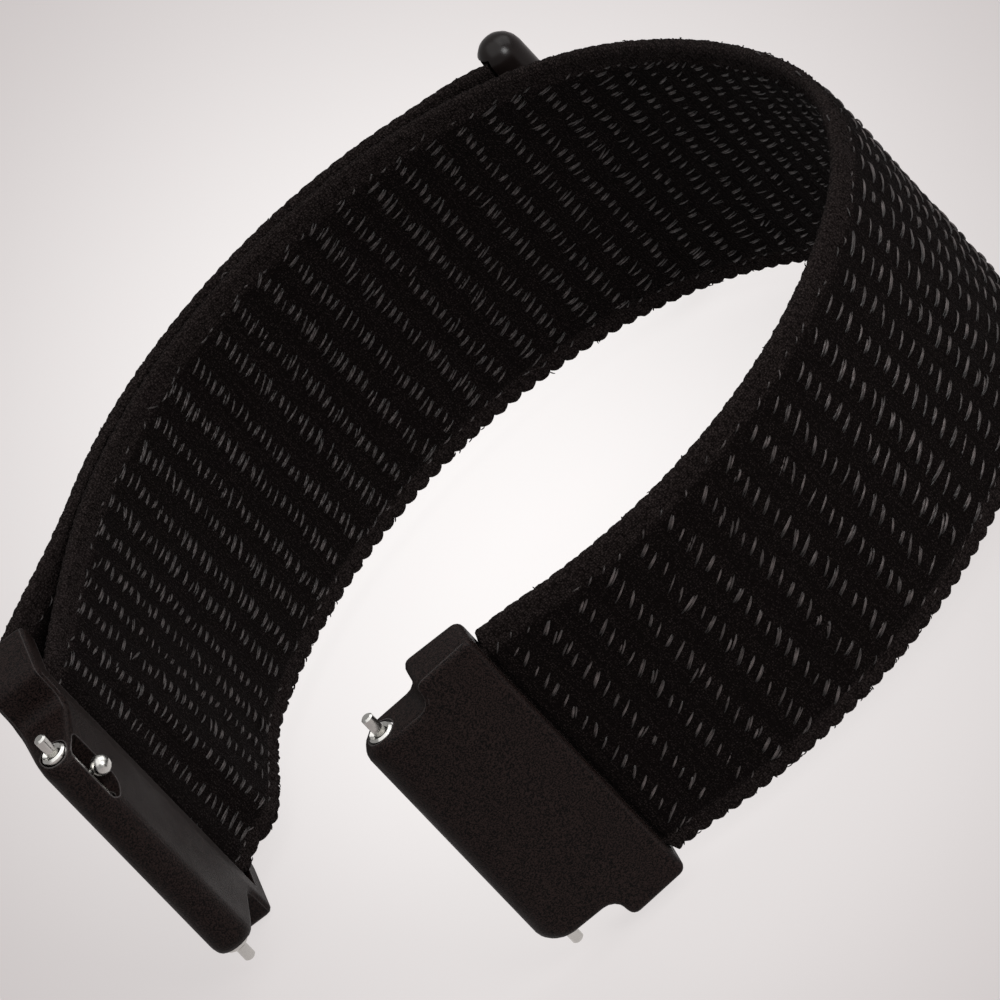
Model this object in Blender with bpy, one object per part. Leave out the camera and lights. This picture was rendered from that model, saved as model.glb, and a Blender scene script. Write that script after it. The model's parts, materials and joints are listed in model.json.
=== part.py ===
"""Hook and loop watch strap, 20 mm lugs: a woven band closed into a loop and standing on its lower edge.

The loop lies in the XY plane and the width of the band runs along Z. One end of the band is held
in a fixed adapter. The other goes through the slot of a loop adapter, folds round its bar and
comes back along the outside as a flap with a hook patch and a pull tab. Each adapter carries a
quick-release spring bar. The band is cut into sections where it flexes, and each moving piece
hangs from an empty on its joint's axis.
"""
from collections import namedtuple
from math import cos, pi, radians, sin, tan

import bmesh
import bpy
from mathutils import Matrix, Vector

MM = 0.001

# Band
BAND_WIDTH = 22.0 * MM
BAND_THICKNESS = 1.6 * MM
SELVEDGE_WIDTH = 1.4 * MM
SELVEDGE_SLOPE = 0.4 * MM
SELVEDGE_THICKNESS = 1.1 * MM
SELVEDGE_RADIUS = 0.45 * MM
STATION_STEP = 3.0 * MM
FIT_GAP = 0.3 * MM

# The loop's centreline from the fold to the fixed adapter, as arcs of (length, turn). A turn is
# negative to the right, towards the inside of the loop.
FOLD_RUN = 10.5 * MM
FLAP_RUN = 38.2 * MM
CREST_RUN = 17.0 * MM
SHOULDER_RUN = 18.4 * MM
FAR_RUN = 18.4 * MM
RETURN_RUN = 34.8 * MM
ADAPTER_RUN = 4.0 * MM
LOOP_START_HEADING = radians(57.3)
LOOP_ARCS = (
    (FOLD_RUN, radians(-5.1)),
    (FLAP_RUN, radians(-74.7)),
    (CREST_RUN, radians(-33.7)),
    (SHOULDER_RUN, radians(-23.3)),
    (FAR_RUN, radians(-49.0)),
    (RETURN_RUN, radians(-69.9)),
    (ADAPTER_RUN, radians(11.8)),
)
CLASP_LENGTH = 66.0 * MM
FLEX_COUNT = 4

# Flap and hook patch
CLASP_PAST_FLAP = 12.1 * MM
LAY_GAP = 0.2 * MM
FLAP_COUNT = 3
FLAP_OPEN_LENGTH = 17.5 * MM
FLAP_TUCK = 1.1 * MM
HOOK_THICKNESS = 0.5 * MM
HOOK_MARGIN = 1.8 * MM
HOOK_END_MARGIN = 2.4 * MM

# Pull tab
TAB_DIAMETER = 3.2 * MM
TAB_OVERHANG = 1.0 * MM
TAB_LIFT = 0.35 * MM

# Both adapters
BODY_WIDTH = 19.8 * MM
BODY_CORNER_RADIUS = 1.2 * MM
NECK_FILLET = 1.0 * MM
NECK_DRAFT = 0.15 * MM
ADAPTER_EDGE_RADIUS = 0.5 * MM
WIDE_CORNER_MARGIN = 0.15 * MM
STRAP_EDGE_SHARE = 0.5
CUT_OVERRUN = 1.0 * MM

# Fixed adapter
FIXED_OVERHANG = 0.8 * MM
FIXED_LIP_THICKNESS = 2.9 * MM
FIXED_NECK_THICKNESS = 3.7 * MM
FIXED_NOSE_RADIUS = 1.7 * MM
FIXED_WIDE_LENGTH = 4.6 * MM
FIXED_BODY_LENGTH = 5.45 * MM
TONGUE_LENGTH = 3.2 * MM
TONGUE_THICKNESS = 1.2 * MM
TONGUE_INSET = 0.8 * MM

# Loop adapter
LOOP_ARM_WIDTH = 1.5 * MM
LOOP_LIP_THICKNESS = 3.4 * MM
LOOP_NECK_THICKNESS = 4.0 * MM
LOOP_NOSE_RADIUS = 1.45 * MM
LOOP_BODY_LENGTH = 6.25 * MM
LOOP_SLOT_WEB = 1.5 * MM
LOOP_BAR_LENGTH = 1.8 * MM
LOOP_BAR_THICKNESS = 2.4 * MM
LOOP_BAR_RADIUS = 0.6 * MM
LOOP_ARM_LIP = 0.2 * MM
LOOP_ADAPTER_HEADING = radians(257.3)

# Quick-release spring bars
TUBE_DIAMETER = 1.8 * MM
TUBE_WALL = 0.25 * MM
TUBE_PROUD = 0.1 * MM
TUBE_END_WALL = 0.45 * MM
TUBE_RIM = 0.15 * MM
TUBE_DISH = 0.2 * MM
TUBE_CLEARANCE = 0.12 * MM
TIP_DIAMETER = 0.84 * MM
TIP_REACH = 1.4 * MM
TIP_CHAMFER = 0.12 * MM
PISTON_CLEARANCE = 0.1 * MM
PISTON_LENGTH = 4.0 * MM
FIXED_PISTON_LENGTH = 2.5 * MM
RELEASE_TRAVEL = 1.45 * MM
KNOB_PIN_DIAMETER = 0.5 * MM
KNOB_PIN_CLEARANCE = 0.08 * MM
KNOB_DIAMETER = 1.44 * MM
KNOB_FROM_END = 2.9 * MM
WINDOW_NOSE_SIDE = 0.95 * MM
WINDOW_STRAP_SIDE = 1.4 * MM
WINDOW_END_WEB = 0.3 * MM
WINDOW_RADIUS = 0.8 * MM
SPRING_WIRE = 0.18 * MM
SPRING_PITCH = 0.9 * MM

# Facets
CORNER_STEPS = 4
NOSE_STEPS = 6
ROUND_STEPS = 24
FOLD_STEPS = 14
COIL_STEPS = 8
SLOPE_STEP_SHARE = 0.02
SMOOTH_ANGLE = radians(35)

# Worked out from the sizes above
LOOP_WIDTH = BAND_WIDTH + 2 * (FIT_GAP + LOOP_ARM_WIDTH)
FIXED_WIDTH = BAND_WIDTH + 2 * FIXED_OVERHANG
TONGUE_WIDTH = BAND_WIDTH - 2 * TONGUE_INSET
TAB_WIDTH = BAND_WIDTH + 2 * TAB_OVERHANG
FLAP_LENGTH = CLASP_LENGTH - CLASP_PAST_FLAP
TUBE_LENGTH = BODY_WIDTH + 2 * TUBE_PROUD
MID_HEIGHT = LOOP_WIDTH / 2
HALF_BAND = BAND_THICKNESS / 2
HALF_SELVEDGE = SELVEDGE_THICKNESS / 2
LAP_OFFSET = BAND_THICKNESS + LAY_GAP
FOLD_RADIUS = LOOP_BAR_THICKNESS / 2 + FIT_GAP + HALF_BAND
SLOT_FACE = FOLD_RADIUS + HALF_BAND + FIT_GAP
BACKING_THICKNESS = BAND_THICKNESS - HOOK_THICKNESS - FIT_GAP
LOOP_LENGTH = sum(length for length, turn in LOOP_ARCS)
BAR_RADIUS = TUBE_DIAMETER / 2
BORE_RADIUS = BAR_RADIUS + TUBE_CLEARANCE
TUBE_BORE_RADIUS = BAR_RADIUS - TUBE_WALL
PISTON_RADIUS = TUBE_BORE_RADIUS - PISTON_CLEARANCE
TIP_RADIUS = TIP_DIAMETER / 2
KNOB_RADIUS = KNOB_DIAMETER / 2
KNOB_HEIGHT = BODY_WIDTH / 2 - KNOB_FROM_END
KNOB_SEAT = BAR_RADIUS + PISTON_CLEARANCE + KNOB_RADIUS

# An adapter's sizes: where it starts, its neck and its bar's axis along its middle line, then its
# width, its thickness at the strap edge and at the neck, and the radius of its nose
Form = namedtuple("Form", "start neck bar wide lip crest nose")


def clear_scene():
    for old in list(bpy.data.objects):
        bpy.data.objects.remove(old, do_unlink=True)


def material(name, colour, roughness, metallic=0.0):
    made = bpy.data.materials.new(name)
    made.use_nodes = True
    shader = made.node_tree.nodes["Principled BSDF"]
    shader.inputs["Base Color"].default_value = (*colour, 1.0)
    shader.inputs["Roughness"].default_value = roughness
    shader.inputs["Metallic"].default_value = metallic
    return made


def nylon_weave():
    return material("nylon_weave", (0.006, 0.005, 0.006), 0.85)


def hook_tape():
    return material("hook_tape", (0.01, 0.01, 0.01), 0.6)


def adapter_plastic():
    return material("adapter_plastic", (0.015, 0.014, 0.014), 0.5)


def tab_plastic():
    return material("tab_plastic", (0.012, 0.011, 0.011), 0.2)


def bar_steel():
    return material("bar_steel", (0.62, 0.61, 0.59), 0.25, 1.0)


def spring_steel():
    return material("spring_steel", (0.5, 0.5, 0.5), 0.35, 1.0)


# Outlines

def rounded_outline(corners, steps):
    """The closed outline through (x, y, radius) corners, each rounded by an arc of its radius."""
    outline = []
    for index, (x, y, radius) in enumerate(corners):
        corner = Vector((x, y))
        before = Vector(corners[index - 1][:2]) - corner
        after = Vector(corners[(index + 1) % len(corners)][:2]) - corner
        if radius == 0:
            outline.append(corner)
            continue
        before.normalize()
        after.normalize()
        half = before.angle(after) / 2
        reach = radius / tan(half)
        centre = corner + (before + after).normalized() * (radius / sin(half))
        first = corner + before * reach - centre
        last = corner + after * reach - centre
        sweep = first.angle_signed(last)
        for step in range(steps + 1):
            turned = Matrix.Rotation(-sweep * step / steps, 2) @ first
            outline.append(centre + turned)
    return outline


def band_section(low, high, width):
    """The woven cross-section as (across, up) points, with a thinner selvedge along both edges."""
    edge = HALF_SELVEDGE
    side = width / 2
    foot = side - SELVEDGE_WIDTH
    top = foot - SELVEDGE_SLOPE
    corners = (
        (low, -top, 0.0), (-edge, -foot, 0.0), (-edge, -side, SELVEDGE_RADIUS),
        (edge, -side, SELVEDGE_RADIUS), (edge, -foot, 0.0), (high, -top, 0.0),
        (high, top, 0.0), (edge, foot, 0.0), (edge, side, SELVEDGE_RADIUS),
        (-edge, side, SELVEDGE_RADIUS), (-edge, foot, 0.0), (low, top, 0.0),
    )
    return rounded_outline(corners, CORNER_STEPS)


def patch_section():
    """The hook patch's plain cross-section, on the flap's inner side."""
    side = BAND_WIDTH / 2 - HOOK_MARGIN
    low = -HALF_BAND
    high = low + HOOK_THICKNESS
    return [(low, -side), (high, -side), (high, side), (low, side)]


# Meshes

def finished(name, shape, surface, parent, place=(0.0, 0.0, 0.0)):
    """An object with this bmesh, smooth on its round faces, at a place in its parent's frame."""
    bmesh.ops.recalc_face_normals(shape, faces=shape.faces)
    mesh = bpy.data.meshes.new(name)
    shape.to_mesh(mesh)
    shape.free()
    mesh.shade_smooth()
    mesh.set_sharp_from_angle(angle=SMOOTH_ANGLE)
    mesh.materials.append(surface)
    made = bpy.data.objects.new(name, mesh)
    bpy.context.scene.collection.objects.link(made)
    made.parent = parent
    made.location = place
    return made


def loft(rings):
    """A closed bmesh through rings of as many points each, with a flat cap at both ends."""
    shape = bmesh.new()
    rows = [[shape.verts.new(point) for point in ring] for ring in rings]
    count = len(rows[0])
    for low, high in zip(rows, rows[1:]):
        for index in range(count):
            after = (index + 1) % count
            shape.faces.new((low[index], low[after], high[after], high[index]))
    shape.faces.new(reversed(rows[0]))
    shape.faces.new(rows[-1])
    return shape


def prism_z(outline, low, high):
    """An outline in XY raised from one height to the other."""
    return loft([[(point[0], point[1], height) for point in outline] for height in (low, high)])


def prism_y(outline, low, high):
    """An outline in XZ carried from one Y to the other."""
    return loft([[(point[0], depth, point[1]) for point in outline] for depth in (low, high)])


def turned(profile):
    """(radius, height) points spun round Z. A profile that leaves the axis open makes a tube."""
    shape = bmesh.new()
    points = [shape.verts.new((radius, 0.0, height)) for radius, height in profile]
    edges = [shape.edges.new(pair) for pair in zip(points, points[1:])]
    if profile[0][0] > 0:
        edges.append(shape.edges.new((points[-1], points[0])))
    bmesh.ops.spin(
        shape, geom=points + edges, axis=(0, 0, 1), cent=(0, 0, 0), angle=2 * pi,
        steps=ROUND_STEPS, use_merge=True, use_duplicate=False,
    )
    bmesh.ops.remove_doubles(shape, verts=shape.verts, dist=TIP_CHAMFER / ROUND_STEPS)
    return shape


def cutter(name, shape, parent, place=(0.0, 0.0, 0.0)):
    tool = finished(name, shape, bpy.data.materials["adapter_plastic"], parent, place)
    tool.hide_render = True
    tool.display_type = "WIRE"
    return tool


def boolean(target, tool, operation):
    change = target.modifiers.new(tool.name, "BOOLEAN")
    change.operation = operation
    change.solver = "EXACT"
    change.object = tool


def empty(name, parent, place, turn=0.0):
    """An empty at a place in its parent's frame, turned about Z: a body's joint axis."""
    made = bpy.data.objects.new(name, None)
    bpy.context.scene.collection.objects.link(made)
    made.parent = parent
    made.location = (*place[:2], place[2] if len(place) > 2 else 0.0)
    made.rotation_euler.z = turn
    return made


# The loop, in plan

def ahead(heading):
    return Vector((cos(heading), sin(heading)))


def outward(heading):
    """Square to the heading, away from the inside of the loop."""
    return Vector((-sin(heading), cos(heading)))


def centre_at(distance):
    """Point and heading of the band's centreline, this far from the fold."""
    point = Vector((0.0, 0.0))
    heading = LOOP_START_HEADING
    for length, turn in LOOP_ARCS:
        run = min(distance, length)
        reached = heading + turn * run / length
        radius = length / turn
        point += radius * (outward(heading) - outward(reached))
        heading = reached
        distance -= run
    return point + ahead(heading) * distance, heading


def centre_frame(distance):
    """Point of the centreline, and the band's outward direction there."""
    point, heading = centre_at(distance)
    return point, outward(heading)


def fold_centre():
    point, away = centre_frame(0.0)
    return point + away * FOLD_RADIUS


def fold_frame(angle):
    """Frame in the fold: 0 where the inner layer meets it, pi where the flap does."""
    point, heading = centre_at(0.0)
    spoke = -outward(heading) * cos(angle) - ahead(heading) * sin(angle)
    return fold_centre() + spoke * FOLD_RADIUS, -spoke


def flap_point(distance):
    """The flap lies on the band and lifts off it towards the fold."""
    point, heading = centre_at(distance)
    share = max(0.0, 1.0 - distance / FLAP_OPEN_LENGTH)
    lift = LAP_OFFSET + (2 * FOLD_RADIUS - LAP_OFFSET) * share * share * (3 - 2 * share)
    return point + outward(heading) * lift


def flap_frame(distance):
    """Point and outward direction of the flap's centreline."""
    step = STATION_STEP * SLOPE_STEP_SHARE
    along = flap_point(distance + step) - flap_point(max(0.0, distance - step))
    along.normalize()
    return flap_point(distance), Vector((-along.y, along.x))


def stations(start, end):
    """Distances from start to end, both with it, about one station step apart."""
    count = max(1, round(abs(end - start) / STATION_STEP))
    return [start + (end - start) * index / count for index in range(count + 1)]


def ring(frame, section, origin):
    """A cross-section set square to the band at a frame, relative to a body's origin."""
    point, away = frame
    shift = point - origin
    return [(*(shift + away * across), MID_HEIGHT + up) for across, up in section]


def split(start, end, count):
    """(start, end) of each of count sections in a row, with a gap between neighbours."""
    size = (end - start) / count
    edges = [start + size * index for index in range(count + 1)]
    return [(low + FIT_GAP / 2, high - FIT_GAP / 2) for low, high in zip(edges, edges[1:])]


# Band

def clasp_section(root):
    """The stretch that the flap lies on, with the fold round the adapter's bar."""
    section = band_section(-HALF_BAND, HALF_BAND, BAND_WIDTH)
    end = CLASP_LENGTH - FIT_GAP / 2
    frames = [centre_frame(distance) for distance in stations(end, 0.0)]
    frames += [fold_frame(pi * step / FOLD_STEPS) for step in range(1, FOLD_STEPS)]
    point, away = fold_frame(pi)
    frames.append((point, away))
    rings = [ring(frame, section, Vector((0.0, 0.0))) for frame in frames]
    return finished("band_clasp_section", loft(rings), nylon, root)


def flex_sections(root):
    """The sections between the clasp and the fixed adapter, each on its own hinge."""
    section = band_section(-HALF_BAND, HALF_BAND, BAND_WIDTH)
    spans = split(CLASP_LENGTH, LOOP_LENGTH, FLEX_COUNT)
    parent = root
    origin = Vector((0.0, 0.0))
    for number, (start, end) in enumerate(spans, 1):
        point, away = centre_frame(start - FIT_GAP / 2)
        hinge = point + away * HALF_BAND
        parent = empty(f"band_flex_{number}", parent, hinge - origin)
        origin = hinge
        rings = [ring(centre_frame(distance), section, origin) for distance in stations(start, end)]
        name = f"band_section_{number}"
        if number == FLEX_COUNT:
            name = "band_end_section"
            rings += tongue_rings(end, origin)
        finished(name, loft(rings), nylon, parent)
    return parent, origin


def tongue_rings(start, origin):
    """The band's end, pressed thin, that goes into the fixed adapter."""
    section = band_section(-TONGUE_THICKNESS / 2, TONGUE_THICKNESS / 2, TONGUE_WIDTH)
    point, heading = centre_at(start)
    frames = [(point + ahead(heading) * run, outward(heading)) for run in (0.0, TONGUE_LENGTH)]
    return [ring(frame, section, origin) for frame in frames]


def flap_sections(root):
    """The flap in sections, each on its own hinge, with the hook patch inside the last two."""
    spans = split(0.0, FLAP_LENGTH, FLAP_COUNT)
    full = band_section(-HALF_BAND, HALF_BAND, BAND_WIDTH)
    backing = band_section(HALF_BAND - BACKING_THICKNESS, HALF_BAND, BAND_WIDTH)
    hooks = patch_section()
    parent = root
    origin = Vector((0.0, 0.0))
    for number, (start, end) in enumerate(spans, 1):
        point, away = flap_frame(start - FIT_GAP / 2)
        hinge = point + away * HALF_BAND
        parent = empty(f"flap_hinge_{number}", parent, hinge - origin)
        origin = hinge
        section = full if number == 1 else backing
        last = number == FLAP_COUNT
        reach = end + FLAP_TUCK if last else end
        rings = [ring(flap_frame(distance), section, origin) for distance in stations(start, reach)]
        finished(f"flap_section_{number}", loft(rings), nylon, parent)
        if number > 1:
            stop = end - HOOK_END_MARGIN if last else end
            rings = [ring(flap_frame(distance), hooks, origin) for distance in stations(start, stop)]
            finished(f"hook_patch_{number - 1}", loft(rings), hook, parent)
    return parent, origin


def pull_tab(parent, origin):
    """A round bar with ball ends, moulded over the flap's end."""
    radius = TAB_DIAMETER / 2
    point, away = flap_frame(FLAP_LENGTH + radius)
    along = Vector((away.y, -away.x))
    rise = radius - HALF_BAND + TAB_LIFT
    centre = point + away * rise
    straight = TAB_WIDTH / 2 - radius
    profile = []
    for end in (-1, 1):
        for step in range(CORNER_STEPS + 2):
            angle = pi / 2 * (step / (CORNER_STEPS + 1))
            angle = angle if end > 0 else pi / 2 - angle
            profile.append((radius * cos(angle), end * (straight + radius * sin(angle))))
    profile = [(max(0.0, size), height) for size, height in profile]
    shift = centre - origin
    tab = finished("pull_tab", turned(profile), gloss, parent, (*shift, MID_HEIGHT))
    depth = FLAP_TUCK + FIT_GAP - radius
    side = BAND_WIDTH / 2 + FIT_GAP
    low = -HALF_SELVEDGE - FIT_GAP - rise
    high = HALF_BAND + FIT_GAP - rise
    corners = ((-TAB_DIAMETER, low), (depth, low), (depth, high), (-TAB_DIAMETER, high))
    outline = [along * run + away * across for run, across in corners]
    tool = cutter("tab_mouth", prism_z(outline, -side, side), parent, (*shift, MID_HEIGHT))
    boolean(tab, tool, "DIFFERENCE")


# Adapters

def adapter_plan(form, inset, end):
    """The T seen from above, as (along, up) points: a wide part to the neck, then the body."""
    outer = form.wide / 2 - inset
    inner = BODY_WIDTH / 2 - inset
    start = form.start + inset * STRAP_EDGE_SHARE
    neck = form.neck - inset
    foot = neck + NECK_DRAFT
    wide_corner = ADAPTER_EDGE_RADIUS + WIDE_CORNER_MARGIN - inset
    body_corner = BODY_CORNER_RADIUS - inset
    fillet = NECK_FILLET + inset
    corners = (
        (start, -outer, wide_corner),
        (neck, -outer, wide_corner),
        (foot, -inner, fillet),
        (end, -inner, body_corner),
        (end, inner, body_corner),
        (foot, inner, fillet),
        (neck, outer, wide_corner),
        (start, outer, wide_corner),
    )
    return rounded_outline(corners, CORNER_STEPS)


def adapter_half(form, along):
    """Half the thickness: up from the strap edge to the neck, and down from there to the nose."""
    if along < form.neck:
        share = (along - form.start) / (form.neck - form.start)
        return (form.lip + (form.crest - form.lip) * share) / 2
    share = min(1.0, (along - form.neck) / (form.bar - form.neck))
    return form.crest / 2 + (form.nose - form.crest / 2) * share


def adapter_body(name, parent, form):
    """The outer form, lofted through its thickness: the T with round edges and a round nose."""
    shape = bmesh.new()
    rows = []
    for step in range(-NOSE_STEPS, NOSE_STEPS + 1):
        angle = pi / 2 * step / NOSE_STEPS
        level = sin(angle)
        into_edge = max(0.0, abs(level) * form.crest / 2 - form.crest / 2 + ADAPTER_EDGE_RADIUS)
        inset = ADAPTER_EDGE_RADIUS - (ADAPTER_EDGE_RADIUS ** 2 - into_edge ** 2) ** 0.5
        plan = adapter_plan(form, inset, form.bar + form.nose * cos(angle))
        rows.append([shape.verts.new((x, level * adapter_half(form, x), up)) for x, up in plan])
    count = len(rows[0])
    for low, high in zip(rows, rows[1:]):
        for index in range(count):
            after = (index + 1) % count
            shape.faces.new((low[index], low[after], high[after], high[index]))
    for row in (rows[0], rows[-1]):
        for index in range(count // 2 - 1):
            across = count - 1 - index
            shape.faces.new((row[index], row[index + 1], row[across - 1], row[across]))
    return finished(name, shape, plastic, parent)


def cut_bar_seat(target, parent, form, bar, side):
    """The bore for the spring bar, and the window on the inner face for its release knob."""
    reach = BODY_WIDTH / 2 + CUT_OVERRUN
    bore = turned(((0.0, -reach), (BORE_RADIUS, -reach), (BORE_RADIUS, reach), (0.0, reach)))
    boolean(target, cutter(target.name + "_bore", bore, parent, (*bar, 0.0)), "DIFFERENCE")
    high = BODY_WIDTH / 2 - WINDOW_END_WEB
    low = KNOB_HEIGHT - RELEASE_TRAVEL - KNOB_RADIUS - FIT_GAP
    corners = [
        (along, up, WINDOW_RADIUS)
        for along, up in (
            (-WINDOW_STRAP_SIDE, low), (WINDOW_NOSE_SIDE, low),
            (WINDOW_NOSE_SIDE, high), (-WINDOW_STRAP_SIDE, high),
        )
    ]
    depth = form.crest / 2 + CUT_OVERRUN
    window = prism_y(rounded_outline(corners, CORNER_STEPS), 0.0, -side * depth)
    boolean(target, cutter(target.name + "_window", window, parent, (*bar, 0.0)), "DIFFERENCE")


def fixed_adapter(band, origin):
    """The adapter that the band's end is bonded into, with its pocket at the strap side."""
    point, heading = centre_at(LOOP_LENGTH)
    frame = empty("fixed_adapter_frame", band, (*(point - origin), MID_HEIGHT), heading)
    form = Form(
        start=0.0, neck=FIXED_WIDE_LENGTH, wide=FIXED_WIDTH, lip=FIXED_LIP_THICKNESS,
        bar=FIXED_WIDE_LENGTH + FIXED_BODY_LENGTH - FIXED_NOSE_RADIUS,
        crest=FIXED_NECK_THICKNESS, nose=FIXED_NOSE_RADIUS,
    )
    made = adapter_body("fixed_adapter", frame, form)
    across = TONGUE_THICKNESS / 2 + FIT_GAP
    up = TONGUE_WIDTH / 2 + FIT_GAP
    outline = (
        (-CUT_OVERRUN, -across), (TONGUE_LENGTH + FIT_GAP, -across),
        (TONGUE_LENGTH + FIT_GAP, across), (-CUT_OVERRUN, across),
    )
    boolean(made, cutter("fixed_adapter_pocket", prism_z(outline, -up, up), frame), "DIFFERENCE")
    bar = (form.bar, 0.0)
    cut_bar_seat(made, frame, form, bar, 1)
    spring_bar("fixed_bar", frame, bar, 1)


def loop_adapter(root):
    """The adapter that turns in the fold: a body, a slot for the band and the bar that it folds round."""
    frame = empty("loop_adapter_pivot", root, (*fold_centre(), MID_HEIGHT), LOOP_ADAPTER_HEADING)
    neck = SLOT_FACE + LOOP_SLOT_WEB
    form = Form(
        start=-LOOP_BAR_LENGTH / 2 - LOOP_ARM_LIP, neck=neck, wide=LOOP_WIDTH, lip=LOOP_LIP_THICKNESS,
        bar=neck + LOOP_BODY_LENGTH - LOOP_NOSE_RADIUS, crest=LOOP_NECK_THICKNESS, nose=LOOP_NOSE_RADIUS,
    )
    made = adapter_body("loop_adapter", frame, form)
    up = BAND_WIDTH / 2 + FIT_GAP
    half = form.crest / 2 + CUT_OVERRUN
    clear = form.start - CUT_OVERRUN
    outline = ((clear, -half), (SLOT_FACE, -half), (SLOT_FACE, half), (clear, half))
    boolean(made, cutter("loop_adapter_slot", prism_z(outline, -up, up), frame), "DIFFERENCE")
    along = LOOP_BAR_LENGTH / 2
    across = LOOP_BAR_THICKNESS / 2
    corners = (
        (-along, -across, LOOP_BAR_RADIUS), (along, -across, LOOP_BAR_RADIUS),
        (along, across, LOOP_BAR_RADIUS), (-along, across, LOOP_BAR_RADIUS),
    )
    inside = (LOOP_WIDTH / 2 + up) / 2
    rail = prism_z(rounded_outline(corners, CORNER_STEPS), -inside, inside)
    boolean(made, cutter("loop_adapter_rail", rail, frame), "UNION")
    bar = (form.bar, 0.0)
    cut_bar_seat(made, frame, form, bar, -1)
    spring_bar("loop_bar", frame, bar, -1)


# Spring bars

def tip_profile(piston):
    """A piston in the tube with its tip out of the end, from the piston's inner face up."""
    top = TUBE_LENGTH / 2 - TUBE_END_WALL - PISTON_CLEARANCE
    out = TUBE_LENGTH / 2 + TIP_REACH
    return (
        (0.0, top - piston),
        (PISTON_RADIUS, top - piston),
        (PISTON_RADIUS, top),
        (TIP_RADIUS, top),
        (TIP_RADIUS, out - TIP_CHAMFER),
        (TIP_RADIUS - TIP_CHAMFER, out),
        (0.0, out),
    )


def spring_bar(name, frame, bar, side):
    """Tube, fixed tip, spring, and the piston with its knob on a slide. side is +1 or -1, outward."""
    place = (*bar, 0.0)
    bar_tube(name, frame, place, side)
    upside_down = [(radius, -height) for radius, height in tip_profile(FIXED_PISTON_LENGTH)]
    finished(name + "_fixed_tip", turned(upside_down), steel, frame, place)
    bar_spring(name, frame, place)
    slide = empty(name + "_release", frame, place)
    piston = finished(name + "_plunger", turned(tip_profile(PISTON_LENGTH)), steel, slide)
    knob_frame = empty(name + "_knob_axis", slide, (0.0, 0.0, KNOB_HEIGHT))
    knob_frame.rotation_euler.x = side * pi / 2
    hole = KNOB_PIN_DIAMETER / 2 + KNOB_PIN_CLEARANCE
    drill = turned(((0.0, -hole), (hole, -hole), (hole, BAR_RADIUS), (0.0, BAR_RADIUS)))
    boolean(piston, cutter(name + "_knob_hole", drill, knob_frame), "DIFFERENCE")
    finished(name + "_knob", turned(knob_profile()), steel, knob_frame)


def knob_profile():
    """A pin that stands in the piston, with a ball clear of the tube."""
    pin = KNOB_PIN_DIAMETER / 2
    neck = KNOB_SEAT - (KNOB_RADIUS ** 2 - pin ** 2) ** 0.5
    profile = [(0.0, 0.0), (pin, 0.0), (pin, neck)]
    steps = 2 * CORNER_STEPS
    for step in range(1, steps + 1):
        angle = -pi / 2 + pi * step / steps
        if KNOB_RADIUS * cos(angle) > pin:
            profile.append((KNOB_RADIUS * cos(angle), KNOB_SEAT + KNOB_RADIUS * sin(angle)))
    return profile + [(0.0, KNOB_SEAT + KNOB_RADIUS)]


def bar_tube(name, frame, place, side):
    """A tube rolled in at both ends, with a slot on its inner side for the knob's pin."""
    end = TUBE_LENGTH / 2
    inside = end - TUBE_END_WALL
    dish = end - TUBE_DISH
    shoulder = end - TUBE_RIM
    rim = BAR_RADIUS - TUBE_RIM
    lip = TIP_RADIUS + PISTON_CLEARANCE
    profile = (
        (lip, -dish), (rim, -end), (BAR_RADIUS, -shoulder),
        (BAR_RADIUS, shoulder), (rim, end), (lip, dish),
        (lip, inside), (TUBE_BORE_RADIUS, inside), (TUBE_BORE_RADIUS, -inside), (lip, -inside),
    )
    tube = finished(name + "_tube", turned(profile), steel, frame, place)
    half = KNOB_PIN_DIAMETER / 2 + PISTON_CLEARANCE
    high = KNOB_HEIGHT + half
    low = KNOB_HEIGHT - RELEASE_TRAVEL - half
    corners = ((-half, low, 0.0), (half, low, 0.0), (half, high, 0.0), (-half, high, 0.0))
    slot = prism_y(rounded_outline(corners, 1), 0.0, -side * TUBE_DIAMETER)
    boolean(tube, cutter(name + "_tube_slot", slot, frame, place), "DIFFERENCE")


def bar_spring(name, frame, place):
    """One unbroken coil between the two pistons."""
    seat = TUBE_LENGTH / 2 - TUBE_END_WALL - PISTON_CLEARANCE
    low = FIXED_PISTON_LENGTH - seat + PISTON_CLEARANCE + SPRING_WIRE / 2
    high = seat - PISTON_LENGTH - PISTON_CLEARANCE - SPRING_WIRE / 2
    radius = PISTON_RADIUS - SPRING_WIRE / 2
    turns = (high - low) / SPRING_PITCH
    count = round(turns * COIL_STEPS)
    points = []
    for index in range(count + 1):
        angle = 2 * pi * turns * index / count
        height = low + (high - low) * index / count
        points.append(Vector((radius * cos(angle), radius * sin(angle), height)))
    gaps = [(a - b).length for a, b in zip(points, points[COIL_STEPS:])]
    print(f"{name}_spring: least gap between turns {(min(gaps) - SPRING_WIRE) / MM:.2f} mm")
    line = bpy.data.curves.new(name + "_spring", "CURVE")
    line.dimensions = "3D"
    line.bevel_depth = SPRING_WIRE / 2
    line.bevel_resolution = 1
    line.use_fill_caps = True
    spline = line.splines.new("POLY")
    spline.points.add(count)
    for target, point in zip(spline.points, points):
        target.co = (*point, 1.0)
    line.materials.append(wire)
    coil = bpy.data.objects.new(name + "_spring", line)
    bpy.context.scene.collection.objects.link(coil)
    coil.parent = frame
    coil.location = place


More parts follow.
